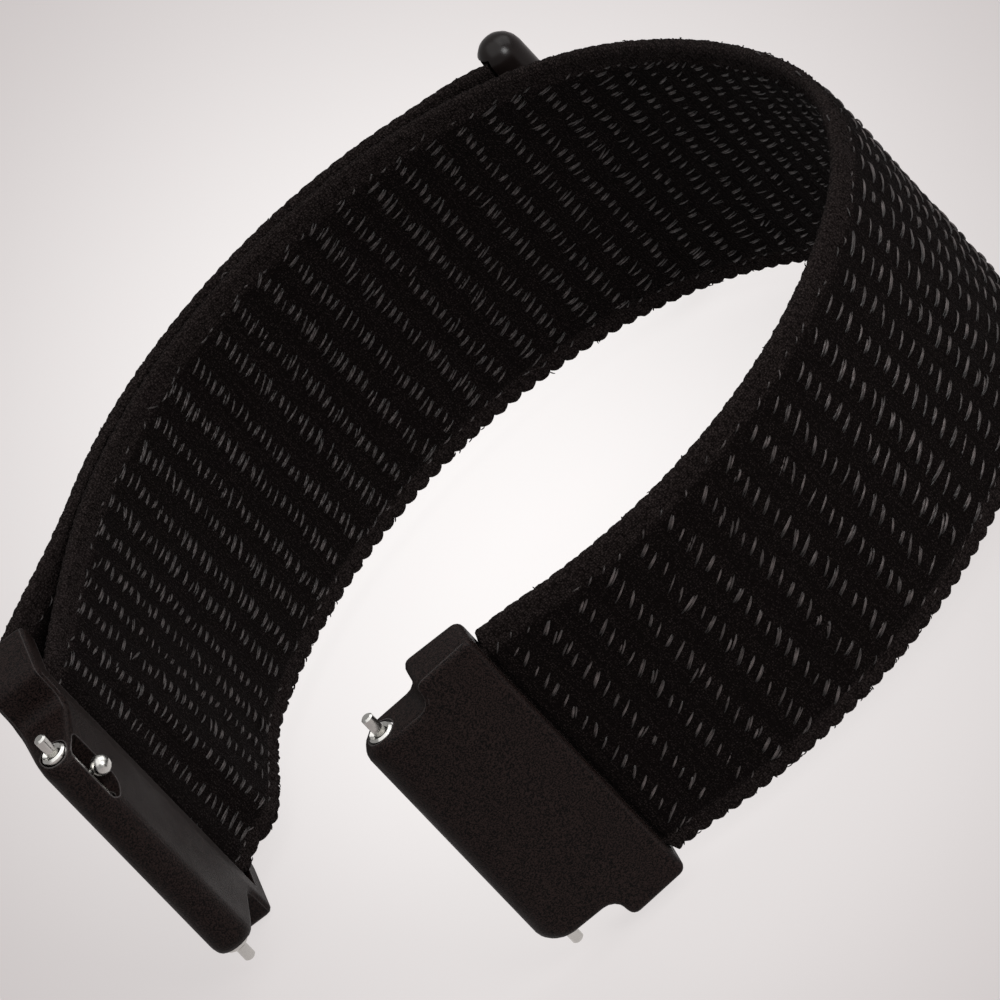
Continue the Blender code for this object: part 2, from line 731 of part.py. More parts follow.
def stand_on_origin(root):
    """Moves the whole strap so that the middle of its box, at the bottom, is the origin."""
    bpy.context.view_layer.update()
    graph = bpy.context.evaluated_depsgraph_get()
    points = []
    for made in bpy.data.objects:
        if made.type == "EMPTY" or made.hide_render:
            continue
        shown = made.evaluated_get(graph)
        points += [shown.matrix_world @ vertex.co for vertex in shown.to_mesh().vertices]
        shown.to_mesh_clear()
    low = [min(point[axis] for point in points) for axis in range(3)]
    high = [max(point[axis] for point in points) for axis in range(3)]
    root.location = (-(low[0] + high[0]) / 2, -(low[1] + high[1]) / 2, -low[2])


clear_scene()
nylon = nylon_weave()
hook = hook_tape()
plastic = adapter_plastic()
gloss = tab_plastic()
steel = bar_steel()
wire = spring_steel()

strap = empty("strap_frame", None, (0.0, 0.0))
clasp_section(strap)
fixed_adapter(*flex_sections(strap))
pull_tab(*flap_sections(strap))
loop_adapter(strap)
stand_on_origin(strap)
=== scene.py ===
import json
from math import cos, pi, radians, sin

import bpy
import numpy as np
from mathutils import Matrix, Vector


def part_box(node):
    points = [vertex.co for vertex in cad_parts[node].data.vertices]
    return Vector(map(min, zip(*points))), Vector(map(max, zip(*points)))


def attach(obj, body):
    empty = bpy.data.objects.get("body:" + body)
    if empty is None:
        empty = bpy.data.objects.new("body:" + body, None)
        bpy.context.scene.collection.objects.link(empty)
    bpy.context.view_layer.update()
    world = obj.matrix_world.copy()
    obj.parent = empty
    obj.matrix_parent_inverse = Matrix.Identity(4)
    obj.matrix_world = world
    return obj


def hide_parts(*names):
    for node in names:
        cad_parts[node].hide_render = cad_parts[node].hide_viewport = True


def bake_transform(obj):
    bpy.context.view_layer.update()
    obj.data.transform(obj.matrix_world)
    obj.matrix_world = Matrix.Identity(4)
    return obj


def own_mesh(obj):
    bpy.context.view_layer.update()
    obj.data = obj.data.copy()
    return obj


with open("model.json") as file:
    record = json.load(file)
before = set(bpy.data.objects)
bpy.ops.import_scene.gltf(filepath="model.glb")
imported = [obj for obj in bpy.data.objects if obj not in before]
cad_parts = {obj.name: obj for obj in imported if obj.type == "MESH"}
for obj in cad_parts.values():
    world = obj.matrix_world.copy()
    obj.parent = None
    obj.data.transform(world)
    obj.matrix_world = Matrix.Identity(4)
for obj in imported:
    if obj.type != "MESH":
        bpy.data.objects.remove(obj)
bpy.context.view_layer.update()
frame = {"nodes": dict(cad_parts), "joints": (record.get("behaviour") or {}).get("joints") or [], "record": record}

# Looks of a hook and loop watch strap: a woven band closed into a loop, with its flap, hook patch
# and pull tab, two moulded adapters and their spring bars. Lengths are in metres.

MM = 0.001

# Band, fold and flap, as they lie in the frame. The flap's hooks press it onto the band, and it
# rises a little to its tab.
BAND_WIDTH = 22.0 * MM
HALF_WIDTH = BAND_WIDTH / 2
BAND_THICKNESS = 1.6 * MM
SELVEDGE_WIDTH = 1.4 * MM
SELVEDGE_SLOPE = 0.4 * MM
SELVEDGE_THICKNESS = 1.1 * MM
MID_HEIGHT = 12.8 * MM
LOOP_START_HEADING = radians(57.3)
LOOP_ARCS = (
    (10.5 * MM, radians(-5.1)),
    (38.2 * MM, radians(-74.7)),
    (17.0 * MM, radians(-33.7)),
    (18.4 * MM, radians(-23.3)),
    (18.4 * MM, radians(-49.0)),
    (34.8 * MM, radians(-69.9)),
    (4.0 * MM, radians(11.8)),
)
LOOP_LENGTH = sum(length for length, turn in LOOP_ARCS)
FOLD_RADIUS = 2.3 * MM
FOLD_LENGTH = pi * FOLD_RADIUS
LAP_OFFSET = 1.3 * MM
LAP_AT_TAB = 1.8 * MM
TAB_RISE_LENGTH = 6.0 * MM
FLAP_OPEN_LENGTH = 14.5 * MM
FLAP_LENGTH = 53.9 * MM
FLAP_TUCK = 1.1 * MM
FLAP_STEP = 0.05 * MM

# The lower edge of the band and the flap leans towards the wrist next to the loop adapter
LEAN = 1.6 * MM
LEAN_START = 3.0 * MM
LEAN_END = 13.0 * MM

# The band's end narrows and is pressed flat to enter the fixed adapter
TONGUE_LENGTH = 3.2 * MM
TONGUE_GAP = 0.3 * MM
TONGUE_INSET = 0.8 * MM
NARROWING_LENGTH = 0.4 * MM
PRESSING_LENGTH = 0.45 * MM
PRESSED_LIFT = 0.5 * MM

# Hook patch: distances along the flap from the fold. Before it the flap thins to its backing.
HOOK_START = 18.1 * MM
HOOK_END = 51.3 * MM
HOOK_WIDTH = 18.4 * MM
BACKING_LIFT = 0.0
THINNING_START = 1.1 * MM
THINNING_END = 0.3 * MM

# Where the strip bends: runs along the band, and along the flap from the fold
BAND_BENDS = (66.0 * MM, 84.825 * MM, 103.65 * MM, 122.475 * MM)
FLAP_BENDS = (3.0 * MM, 17.97 * MM, 35.93 * MM)
BEND_REACH = 4.5 * MM
FLAP_BEND_LENGTH = 5.8 * MM

# Where the visible pieces meet, in rigid parts of the sections, as runs along the strip
FOLD_SEAM = -3.96 * MM
CLASP_SEAM = 26.52 * MM
BAND_SEAMS = (57.0 * MM, 75.36 * MM, 94.2 * MM, 113.04 * MM)
FLAP_SEAMS = (-16.32 * MM, -34.2 * MM)


# The strip's course. A run is 0 where the fold starts, grows along the band to the fixed adapter,
# and falls round the fold and along the flap. Lift is measured out of the loop side.

def blend_share(value, start, end):
    """0 up to the start, 1 from the end, and a smooth step between them."""
    share = np.clip((value - start) / (end - start), 0.0, 1.0)
    return share * share * (3 - 2 * share)


def ahead(heading):
    return np.stack((np.cos(heading), np.sin(heading)), -1)


def outward(heading):
    return np.stack((-np.sin(heading), np.cos(heading)), -1)


def centre_at(distance):
    """Points and headings of the band's centreline at these distances from the fold."""
    left = np.array(distance, float)
    heading = np.full(left.shape, LOOP_START_HEADING)
    point = np.zeros((*left.shape, 2))
    for length, turn in LOOP_ARCS:
        run = np.clip(left, 0.0, length)
        reached = heading + turn * run / length
        point += length / turn * (outward(heading) - outward(reached))
        heading = reached
        left = left - run
    return point + ahead(heading) * left[..., None], heading


def flap_point(distance):
    """Points in plan along the flap: apart from the band at the fold, and lying on it further on."""
    point, heading = centre_at(distance)
    opened = blend_share(FLAP_OPEN_LENGTH - distance, 0.0, FLAP_OPEN_LENGTH)
    raised = blend_share(distance, FLAP_LENGTH - TAB_RISE_LENGTH, FLAP_LENGTH)
    lift = LAP_OFFSET + (2 * FOLD_RADIUS - LAP_OFFSET) * opened + (LAP_AT_TAB - LAP_OFFSET) * raised
    return point + outward(heading) * lift[..., None]


FOLD_START, FOLD_HEADING = centre_at(0.0)
FOLD_CENTRE = FOLD_START + outward(FOLD_HEADING) * FOLD_RADIUS
SWING = next(joint for joint in frame["joints"] if joint["name"] == "loop_adapter_swing")
SHIFT = np.array(SWING["pos_m"][:2]) - FOLD_CENTRE


def strip_frame(run):
    """Point in plan, and the direction out of the loop side, at each run."""
    run = np.asarray(run, float)
    band, heading = centre_at(np.maximum(run, 0.0))
    band_side = outward(heading)
    angle = np.clip(-run / FOLD_RADIUS, 0.0, pi)[..., None]
    spoke = -outward(FOLD_HEADING) * np.cos(angle) - ahead(FOLD_HEADING) * np.sin(angle)
    fold = FOLD_CENTRE + spoke * FOLD_RADIUS
    distance = np.maximum(-run - FOLD_LENGTH, 0.0)
    along = flap_point(distance + FLAP_STEP) - flap_point(np.maximum(distance - FLAP_STEP, 0.0))
    along /= np.linalg.norm(along, axis=-1, keepdims=True)
    flap_side = np.stack((along[..., 1], -along[..., 0]), -1)
    on_band = (run >= 0.0)[..., None]
    on_flap = (run <= -FOLD_LENGTH)[..., None]
    point = np.where(on_band, band, np.where(on_flap, flap_point(distance), fold))
    side = np.where(on_band, band_side, np.where(on_flap, flap_side, -spoke))
    return point + SHIFT, side


def loop_side_at(run):
    """The direction out of the loop side at each run, in plan."""
    return strip_frame(run)[1]


def leaning(run, height):
    """How far the strip leans towards the wrist, most at its lower edge."""
    distance = np.maximum(run, -run - FOLD_LENGTH)
    growing = blend_share(distance, 0.0, LEAN_START)
    fading = 1 - blend_share(distance, LEAN_START, LEAN_END)
    return LEAN * growing * fading * (0.5 - height / BAND_WIDTH)


def on_strip(run, height, lift):
    """World points at these runs, heights across the width and lifts out of the loop side."""
    run, height, lift = np.broadcast_arrays(run, height, lift)
    point, side = strip_frame(run)
    lift = lift - np.sign(run) * leaning(run, height)
    plan = point + side * lift[..., None]
    return np.concatenate((plan, (MID_HEIGHT + height)[..., None]), -1)


def in_plan(directions):
    """Directions in plan as directions in space."""
    return np.concatenate((directions, 0 * directions[..., :1]), -1)


def upright(shape):
    """Directions straight up, in an array of this shape."""
    found = np.zeros((*shape, 3))
    found[..., 2] = 1.0
    return found


# Meshes

CREASE_ANGLE = radians(65)


class Cloth:
    """Points and faces of one piece, gathered layer by layer, with a thread map and finishes."""

    def __init__(self):
        self.points = []
        self.faces = []
        self.maps = []
        self.finishes = []
        self.count = 0

    def add(self, points, faces, maps, finish):
        self.points.append(points.reshape(-1, 3))
        self.faces += [[self.count + index for index in face] for face in faces]
        self.maps += list(maps)
        self.finishes += [finish] * len(faces)
        self.count += len(self.points[-1])

    def piece(self, name, materials):
        mesh = bpy.data.meshes.new(name)
        mesh.from_pydata(np.concatenate(self.points).tolist(), [], self.faces)
        for material in materials:
            mesh.materials.append(material)
        mesh.polygons.foreach_set("material_index", self.finishes)
        thread_map = mesh.uv_layers.new(name="thread_map")
        flat = [value for face in self.maps for corner in face for value in corner]
        thread_map.uv.foreach_set("vector", flat)
        mesh.shade_smooth()
        mesh.set_sharp_from_angle(angle=CREASE_ANGLE)
        mesh.update()
        made = bpy.data.objects.new(name, mesh)
        bpy.context.scene.collection.objects.link(made)
        return made


def grid_faces(rows, columns):
    """Quads of a grid whose columns close on themselves."""
    faces = []
    for row in range(rows - 1):
        for column in range(columns):
            after = (column + 1) % columns
            low = row * columns
            faces.append((low + column, low + columns + column, low + columns + after, low + after))
    return faces


def cap_faces(rows, columns):
    """The two faces that close the ends of such a grid."""
    base = (rows - 1) * columns
    return [tuple(range(columns)), tuple(reversed(range(base, base + columns)))]


TUBE_SIDES = 5


def tubes(cloth, course, across, upward, radii, finish, sides=TUBE_SIDES):
    """Closed threads through courses of points, as (thread, ring, 3), round in the across and
    upward directions. The thread map has the share of the length, and the thread's number."""
    threads, rings = course.shape[:2]
    angle = np.arange(sides) / sides * 2 * pi
    points = (
        course[:, :, None]
        + across[:, :, None] * (np.cos(angle)[None, None, :, None] * radii[..., None, None])
        + upward[:, :, None] * (np.sin(angle)[None, None, :, None] * radii[..., None, None])
    )
    one = grid_faces(rings, sides) + cap_faces(rings, sides)
    size = rings * sides
    faces = []
    maps = []
    for thread in range(threads):
        faces += [[thread * size + index for index in face] for face in one]
        for row in range(rings - 1):
            back, front = row / (rings - 1), (row + 1) / (rings - 1)
            for column in range(sides):
                low, high = thread + column / (sides + 1), thread + (column + 1) / (sides + 1)
                maps.append(((back, low), (front, low), (front, high), (back, high)))
        maps += [[(0.0, thread)] * sides] * 2
    cloth.add(points, faces, maps, finish)


# Weave. The wrist side's rows and the loop side's rows each come in pairs. A kind of float has its
# rows, thickness, arch, finish and stream of random numbers. A finish is the place of a material
# in its piece's list.

LOOP_SIDE = 1
WRIST_SIDE = -1
BASE_FINISH = 0
WRIST_FINISH = 1
LOOP_FINISH = 2
FLOATS = {
    LOOP_SIDE: {
        "first": 109.1 * MM, "second": 111.73 * MM, "repeat": 5.08 * MM, "pitch": 1.04 * MM,
        "thick": 0.074 * MM, "arch": 0.12 * MM, "finish": LOOP_FINISH, "stream": 1,
    },
    WRIST_SIDE: {
        "first": 10.21 * MM, "second": 12.54 * MM, "repeat": 4.87 * MM, "pitch": 0.66 * MM,
        "thick": 0.064 * MM, "arch": 0.10 * MM, "finish": WRIST_FINISH, "stream": 2,
    },
}
SEED = 20
SEED_OFFSET = 5000
STATION = 0.12 * MM
STRIP_REACH = (-80 * MM, 150 * MM)
RIB_REACH = 0.62 * MM
RIB_RISE = 0.06 * MM
GROUND_SINK = 0.12 * MM
GROUND_GRAIN = 0.018 * MM
FACE_COLUMNS = 40

# Selvedges: bumps with notches between them, along two edges that wander a little
EDGE_SINK = 0.06 * MM
EDGE_PITCH = 1.2 * MM
EDGE_COLUMNS = 6
EDGE_ROUND = SELVEDGE_THICKNESS / 2 - EDGE_SINK
BUMP_SHARPNESS = 0.8
BULGE = 0.92
BULGE_ON_BUMPS = 0.12
LOWER_EDGE = {"notch": 0.24 * MM, "shift": 0.0, "wander": 0.03 * MM, "length": 7.3 * MM}
UPPER_EDGE = {"notch": 0.13 * MM, "shift": 0.5 * MM, "wander": 0.02 * MM, "length": 5.1 * MM}


def seeded(run, *stream):
    """Random numbers of a piece that starts at this run. The offset keeps the seed above 0."""
    return np.random.default_rng([SEED, *stream, int(round(run / STATION)) + SEED_OFFSET])


def row_runs(rows, start, end):
    """(run, second) of each row between two runs; second is 1 for the second row of a pair."""
    found = []
    for second, first_run in enumerate((rows["first"], rows["second"])):
        low = int(np.ceil((start - first_run) / rows["repeat"]))
        high = int(np.floor((end - first_run) / rows["repeat"]))
        found += [(first_run + rows["repeat"] * index, second) for index in range(low, high + 1)]
    return sorted(found)


def rib(run, side):
    """0 in the gap between rows of floats, 1 on a row."""
    centres = np.array([row for row, second in row_runs(FLOATS[side], *STRIP_REACH)])
    after = np.clip(np.searchsorted(centres, run), 1, len(centres) - 1)
    near = np.minimum(np.abs(run - centres[after - 1]), np.abs(run - centres[after]))
    return np.exp(-(near / RIB_REACH) ** 2)


def scallop(run, shift=0.0):
    """Round bumps along a selvedge with a sharp notch between them."""
    return np.abs(np.sin(pi * (run + shift) / EDGE_PITCH)) ** BUMP_SHARPNESS


def edge_place(run, half, edge):
    """How far a selvedge's outer side lies from the middle of the band."""
    notched = half - edge["notch"] * (1 - scallop(run, edge["shift"]))
    return notched + edge["wander"] * np.sin(run / edge["length"])


def level(run, height, half, middle):
    """A face's lift from the middle plane: thin selvedges, and pressed flat at the band's end."""
    edge = 1 - blend_share(half - np.abs(height), SELVEDGE_WIDTH, SELVEDGE_WIDTH + SELVEDGE_SLOPE)
    pressed = blend_share(run, LOOP_LENGTH - PRESSING_LENGTH, LOOP_LENGTH)
    lift = middle + (EDGE_ROUND - middle) * edge
    return lift + (PRESSED_LIFT - lift) * pressed


def loop_lift(run, height, half=HALF_WIDTH):
    """How far the loop side's ground lies from the middle plane."""
    full = BAND_THICKNESS / 2 - GROUND_SINK
    on_hooks = blend_share(-run - FOLD_LENGTH, HOOK_START - THINNING_START, HOOK_START - THINNING_END)
    return level(run, height, half, full + (BACKING_LIFT - full) * on_hooks)


def wrist_lift(run, height, half=HALF_WIDTH):
    """How far the wrist side's ground lies from the middle plane."""
    return level(run, height, half, BAND_THICKNESS / 2 - GROUND_SINK)


def ground(cloth, start, end):
    """The woven ground between two runs: a closed strip with ribs, grain and scalloped selvedges."""
    noise = seeded(start)
    count = round((end - start) / STATION) + 1
    run = np.linspace(start, end, count)[:, None]
    half = HALF_WIDTH - TONGUE_INSET * blend_share(run, LOOP_LENGTH - NARROWING_LENGTH, LOOP_LENGTH)
    low_edge = -(edge_place(run, half, LOWER_EDGE) - EDGE_ROUND)
    high_edge = edge_place(run, half, UPPER_EDGE) - EDGE_ROUND
    even = np.linspace(-1.0, 1.0, FACE_COLUMNS)[None, :]
    across = (even + np.sin(even * pi / 2)) / 2
    face = (low_edge + high_edge) / 2 + (high_edge - low_edge) / 2 * across
    inside = blend_share(half - np.abs(face), SELVEDGE_WIDTH, SELVEDGE_WIDTH + SELVEDGE_SLOPE)
    turn = (np.arange(EDGE_COLUMNS) + 1) / (EDGE_COLUMNS + 1) * pi
    turn = turn[None, :]
    bulge = EDGE_ROUND * (BULGE + BULGE_ON_BUMPS * scallop(run))
    height = np.concatenate((
        face,
        high_edge + bulge * np.sin(turn),
        face[:, ::-1],
        low_edge - bulge * np.sin(turn),
    ), 1)
    loop_ribs = RIB_RISE * (rib(run, LOOP_SIDE) - 0.5)
    wrist_ribs = RIB_RISE * (rib(run, WRIST_SIDE) - 0.5)
    lift = np.concatenate((
        loop_lift(run, face, half) + loop_ribs * inside,
        bulge * np.cos(turn),
        -(wrist_lift(run, face, half) + wrist_ribs * inside)[:, ::-1],
        -bulge * np.cos(turn),
    ), 1)
    lift += noise.normal(0, GROUND_GRAIN, lift.shape)
    columns = height.shape[1]
    around = np.arange(columns + 1) * (2 * BAND_WIDTH / columns / MM)
    runs = run[:, 0] / MM
    maps = []
    for back, front in zip(runs, runs[1:]):
        for low, high in zip(around, around[1:]):
            maps.append(((back, low), (front, low), (front, high), (back, high)))
    maps += [[(0.0, 0.0)] * columns] * 2
    faces = grid_faces(count, columns) + cap_faces(count, columns)
    cloth.add(on_strip(run, height, lift), faces, maps, BASE_FINISH)


# Floats: threads that arch over the ground, thinner to their ends. Spreads are shares of the value
# that they vary, or have a unit.
FLOAT_RINGS = 6
ARCH_FLATNESS = 3.4
SUNK_SHARE = 0.8
TAPER = 0.45
TAPER_FLATNESS = 3
ROW_REACH = HALF_WIDTH - SELVEDGE_WIDTH - 0.35 * MM
ROW_PHASE = 0.25
ALONG_SPREAD = 0.1 * MM
ACROSS_SPREAD = 0.06 * MM
TILT_SPREAD = radians(5)
LENGTH_SPREAD = 0.13
SWELL = 0.3
SWELL_LENGTH = 2.6 * MM
SECOND_STRAND_CHANCE = 0.7
STRAND_GAP = (0.1 * MM, 0.14 * MM)
STRAND_LENGTH = (0.85, 1.0)
STRAND_TILT_SPREAD = radians(3)
THICK_SPREAD = 0.1
ARCH_SPREAD = 0.25

# Lengths and tilts of the floats, and the runs over which the weave's drift changes them
LOOP_FLOAT_LENGTH = 1.75 * MM
LOOP_FLOAT_SHORTENING = 0.45 * MM
SHORTENING_RUNS = (100 * MM, 132 * MM)
WRIST_FLOAT_LENGTH = 1.3 * MM
SECOND_ROW_SHORTENING = 0.15 * MM
LOOP_TILT = radians(-5)
LOOP_TILT_DRIFT = radians(-27)
LOOP_DRIFT_RUNS = (98 * MM, 130 * MM)
WRIST_TILT = radians(-4)
WRIST_TILT_DRIFT = radians(20)
WRIST_DRIFT_RUNS = (8 * MM, 28 * MM)


def floats(cloth, threads, rings, side, finish):
    """Threads that arch out of one side's ground."""
    run, height, length, tilt, thick, arch = (values[:, None] for values in np.array(threads).T)
    share = np.linspace(-1.0, 1.0, rings)[None, :]
    along = length / 2 * share
    runs = run + along * np.cos(tilt)
    heights = height + along * np.sin(tilt)
    lift = loop_lift(runs, heights) if side == LOOP_SIDE else wrist_lift(runs, heights)
    rise = arch * (1 - np.abs(share) ** ARCH_FLATNESS) - thick * SUNK_SHARE
    course = on_strip(runs, heights, side * (lift + rise))
    loop_side = loop_side_at(runs)
    along_band = np.stack((loop_side[..., 1], -loop_side[..., 0]), -1)
    lean = tilt[:, :, None]
    across = upright(runs.shape) * np.cos(lean) - in_plan(along_band) * np.sin(lean)
    radii = thick * (1 - TAPER * np.abs(share) ** TAPER_FLATNESS)
    tubes(cloth, course, across, in_plan(loop_side * side), radii, finish)


def float_length(run, second, side):
    """How long the floats are: the loop side's grow shorter towards the fixed adapter."""
    if side == LOOP_SIDE:
        return LOOP_FLOAT_LENGTH - LOOP_FLOAT_SHORTENING * float(blend_share(run, *SHORTENING_RUNS))
    return WRIST_FLOAT_LENGTH - SECOND_ROW_SHORTENING * second


def float_tilt(run, side):
    """How far the floats lean across the band, which follows the weave's own drift."""
    if side == LOOP_SIDE:
        return LOOP_TILT + LOOP_TILT_DRIFT * float(blend_share(run, *LOOP_DRIFT_RUNS))
    return WRIST_TILT + WRIST_TILT_DRIFT * float(blend_share(run, *WRIST_DRIFT_RUNS))


def float_rows(cloth, start, end, side):
    """The rows of floats on one side between two runs."""
    kind = FLOATS[side]
    shade = seeded(start, kind["stream"])
    threads = []
    for row, second in row_runs(kind, start, end):
        phase = shade.uniform(-ROW_PHASE, ROW_PHASE)
        wave = shade.uniform(0, 2 * pi)
        for index in range(int(2 * ROW_REACH / kind["pitch"]) + 1):
            at = -ROW_REACH + (index + phase) * kind["pitch"] + shade.normal(0, ACROSS_SPREAD)
            if abs(at) > ROW_REACH:
                continue
            lean = float_tilt(row, side) + shade.normal(0, TILT_SPREAD)
            size = float_length(row, second, side) * shade.normal(1.0, LENGTH_SPREAD)
            swell = 1 + SWELL * sin(at / SWELL_LENGTH + wave)
            for strand in range(1 + int(shade.random() < SECOND_STRAND_CHANCE)):
                threads.append((
                    row + shade.normal(0, ALONG_SPREAD),
                    at + strand * shade.uniform(*STRAND_GAP),
                    size * shade.uniform(*STRAND_LENGTH),
                    lean + strand * shade.normal(0, STRAND_TILT_SPREAD),
                    kind["thick"] * shade.normal(1.0, THICK_SPREAD),
                    kind["arch"] * swell * shade.normal(1.0, ARCH_SPREAD),
                ))
    floats(cloth, threads, FLOAT_RINGS, side, kind["finish"])


# Selvedge threads: fine ones that lie all ways, and stitches along the inner edge
SELVEDGE_STREAMS = {LOOP_SIDE: 3, WRIST_SIDE: 4}
SELVEDGE_RINGS = 4
SELVEDGE_ARCH = (0.6, 1.2)
FINE_PER_MM = 9
FINE_INSET = (0.3 * MM, SELVEDGE_WIDTH + 0.1 * MM)
FINE_LENGTH = (0.25 * MM, 0.5 * MM)
FINE_TILT = radians(30)
FINE_TILT_SPREAD = radians(40)
FINE_THICK = 0.045 * MM
FINE_THICK_SPREAD = 0.12
FINE_ARCH = 0.07 * MM
STITCH_CHANCE = 0.75
STITCH_INSET = SELVEDGE_WIDTH + 0.1 * MM
STITCH_ALONG_SPREAD = 0.15 * MM
STITCH_ACROSS_SPREAD = 0.12 * MM
STITCH_LENGTH = (0.5 * MM, 0.9 * MM)
STITCH_TILT_SPREAD = radians(12)
STITCH_THICK = 0.06 * MM
STITCH_ARCH = 0.12 * MM


def selvedge_threads(cloth, start, end, side):
    """Fine threads and stitches on both selvedges of one side between two runs."""
    shade = seeded(start, SELVEDGE_STREAMS[side])
    fine = []
    stitches = []
    for edge in (-1, 1):
        for index in range(int((end - start) * FINE_PER_MM / MM)):
            fine.append((
                shade.uniform(start, end),
                edge * (HALF_WIDTH - shade.uniform(*FINE_INSET)),
                shade.uniform(*FINE_LENGTH),
                edge * side * FINE_TILT + shade.normal(0, FINE_TILT_SPREAD),
                FINE_THICK * shade.normal(1.0, FINE_THICK_SPREAD),
                FINE_ARCH * shade.uniform(*SELVEDGE_ARCH),
            ))
        for index in range(int(np.ceil(start / EDGE_PITCH)), int(np.floor(end / EDGE_PITCH)) + 1):
            if shade.random() < STITCH_CHANCE:
                stitches.append((
                    index * EDGE_PITCH + shade.normal(0, STITCH_ALONG_SPREAD),
                    edge * (HALF_WIDTH - STITCH_INSET) + shade.normal(0, STITCH_ACROSS_SPREAD),
                    shade.uniform(*STITCH_LENGTH),
                    float_tilt(index * EDGE_PITCH, side) + shade.normal(0, STITCH_TILT_SPREAD),
                    STITCH_THICK,
                    STITCH_ARCH * shade.uniform(*SELVEDGE_ARCH),
                ))
    floats(cloth, fine, SELVEDGE_RINGS, side, BASE_FINISH)
    floats(cloth, stitches, SELVEDGE_RINGS, side, WRIST_FINISH)


# Stray loops: runs on the upper edge and on the lower edge
STRAY_LOOPS = {
    1: (81.4 * MM, 86.8 * MM, 93.6 * MM, 33.0 * MM),
    -1: (85.2 * MM, 86.9 * MM),
}
STRAY_HALF_LENGTH = 0.42 * MM
STRAY_INSET = 0.2 * MM
STRAY_RISE = 0.36 * MM
STRAY_LIFT = 0.1 * MM
STRAY_THICK = 0.05 * MM


def stray_loops(cloth, start, end):
    """Single threads that stand out of a selvedge in a small loop."""
    share = np.linspace(-1.0, 1.0, FLOAT_RINGS)[None, :]
    for edge, places in STRAY_LOOPS.items():
        for place in places:
            if start < place < end:
                runs = place + STRAY_HALF_LENGTH * share
                heights = edge * (HALF_WIDTH - STRAY_INSET + STRAY_RISE * (1 - share ** 2))
                course = on_strip(runs, heights, STRAY_LIFT)
                radii = STRAY_THICK + 0 * runs
                across = in_plan(loop_side_at(runs))
                tubes(cloth, course, across, upright(runs.shape), radii, WRIST_FINISH)


# Node groups

def new_group(name, inputs, outputs):
    """A shader group with its named sockets, and the sockets inside it that they lead to."""
    tree = bpy.data.node_groups.new(name, "ShaderNodeTree")
    for label, kind, value in inputs:
        made = tree.interface.new_socket(name=label, in_out="INPUT", socket_type=kind)
        if value is not None:
            made.default_value = value
    for label, kind in outputs:
        tree.interface.new_socket(name=label, in_out="OUTPUT", socket_type=kind)
    entry = tree.nodes.new("NodeGroupInput")
    leave = tree.nodes.new("NodeGroupOutput")
    return tree, entry.outputs, leave.inputs


def add_node(tree, kind, inputs=(), **settings):
    """A node with its settings, and with its named inputs set or linked."""
    made = tree.nodes.new(kind)
    for key, value in settings.items():
        setattr(made, key, value)
    for key, value in dict(inputs).items():
        if isinstance(value, bpy.types.NodeSocket):
            tree.links.new(value, made.inputs[key])
        else:
            made.inputs[key].default_value = value
    return made


def arithmetic(tree, operation, *values):
    return add_node(tree, "ShaderNodeMath", enumerate(values), operation=operation).outputs[0]


def mapped(tree, value, given, wanted=(0.0, 1.0)):
    """A value with the given range spread over the wanted one, and held at its ends."""
    inputs = {
        "Value": value,
        "From Min": given[0], "From Max": given[1],
        "To Min": wanted[0], "To Max": wanted[1],
    }
    return add_node(tree, "ShaderNodeMapRange", inputs).outputs["Result"]


def tinted(tree, share, first, second):
    """A colour between two, which are either linked or given as red, green and blue."""
    inputs = {0: share}
    for key, colour in ((6, first), (7, second)):
        inputs[key] = colour if isinstance(colour, bpy.types.NodeSocket) else (*colour, 1.0)
    return add_node(tree, "ShaderNodeMix", inputs, data_type="RGBA").outputs[2]


def in_millimetres(tree, place):
    inputs = {0: place, "Scale": 1 / MM}
    return add_node(tree, "ShaderNodeVectorMath", inputs, operation="SCALE").outputs[0]


YARN_TOPS = (0.5, 0.95)
FUZZ_PEAKS = (0.4, 0.6)
PIT_DEPTHS = (0.4, 0.6)
PATCH_EDGES = (0.35, 0.65)


def yarn_grain():
    """Fine yarn ends and pile over a woven surface."""
    tree, given, made = new_group(
        "yarn_grain",
        [("Vector", "NodeSocketVector", None), ("Yarns per mm", "NodeSocketFloat", 3.0),
         ("Fuzz", "NodeSocketFloat", 0.5)],
        [("Height", "NodeSocketFloat"), ("Fleck", "NodeSocketFloat")],
    )
    place = in_millimetres(tree, given["Vector"])
    cells = add_node(tree, "ShaderNodeTexVoronoi", {
        "Vector": place, "Scale": given["Yarns per mm"], "Randomness": 0.7,
    })
    fuzz = add_node(tree, "ShaderNodeTexNoise", {
        "Vector": place, "Scale": 9.0, "Detail": 3.0, "Roughness": 0.6,
    }).outputs["Fac"]
    dome = arithmetic(tree, "SUBTRACT", 1.0, cells.outputs["Distance"])
    soft = arithmetic(tree, "MULTIPLY", fuzz, given["Fuzz"])
    tree.links.new(arithmetic(tree, "ADD", dome, soft), made["Height"])
    tops = mapped(tree, dome, YARN_TOPS)
    peaks = mapped(tree, fuzz, FUZZ_PEAKS)
    tree.links.new(arithmetic(tree, "MULTIPLY", tops, peaks), made["Fleck"])
    return tree


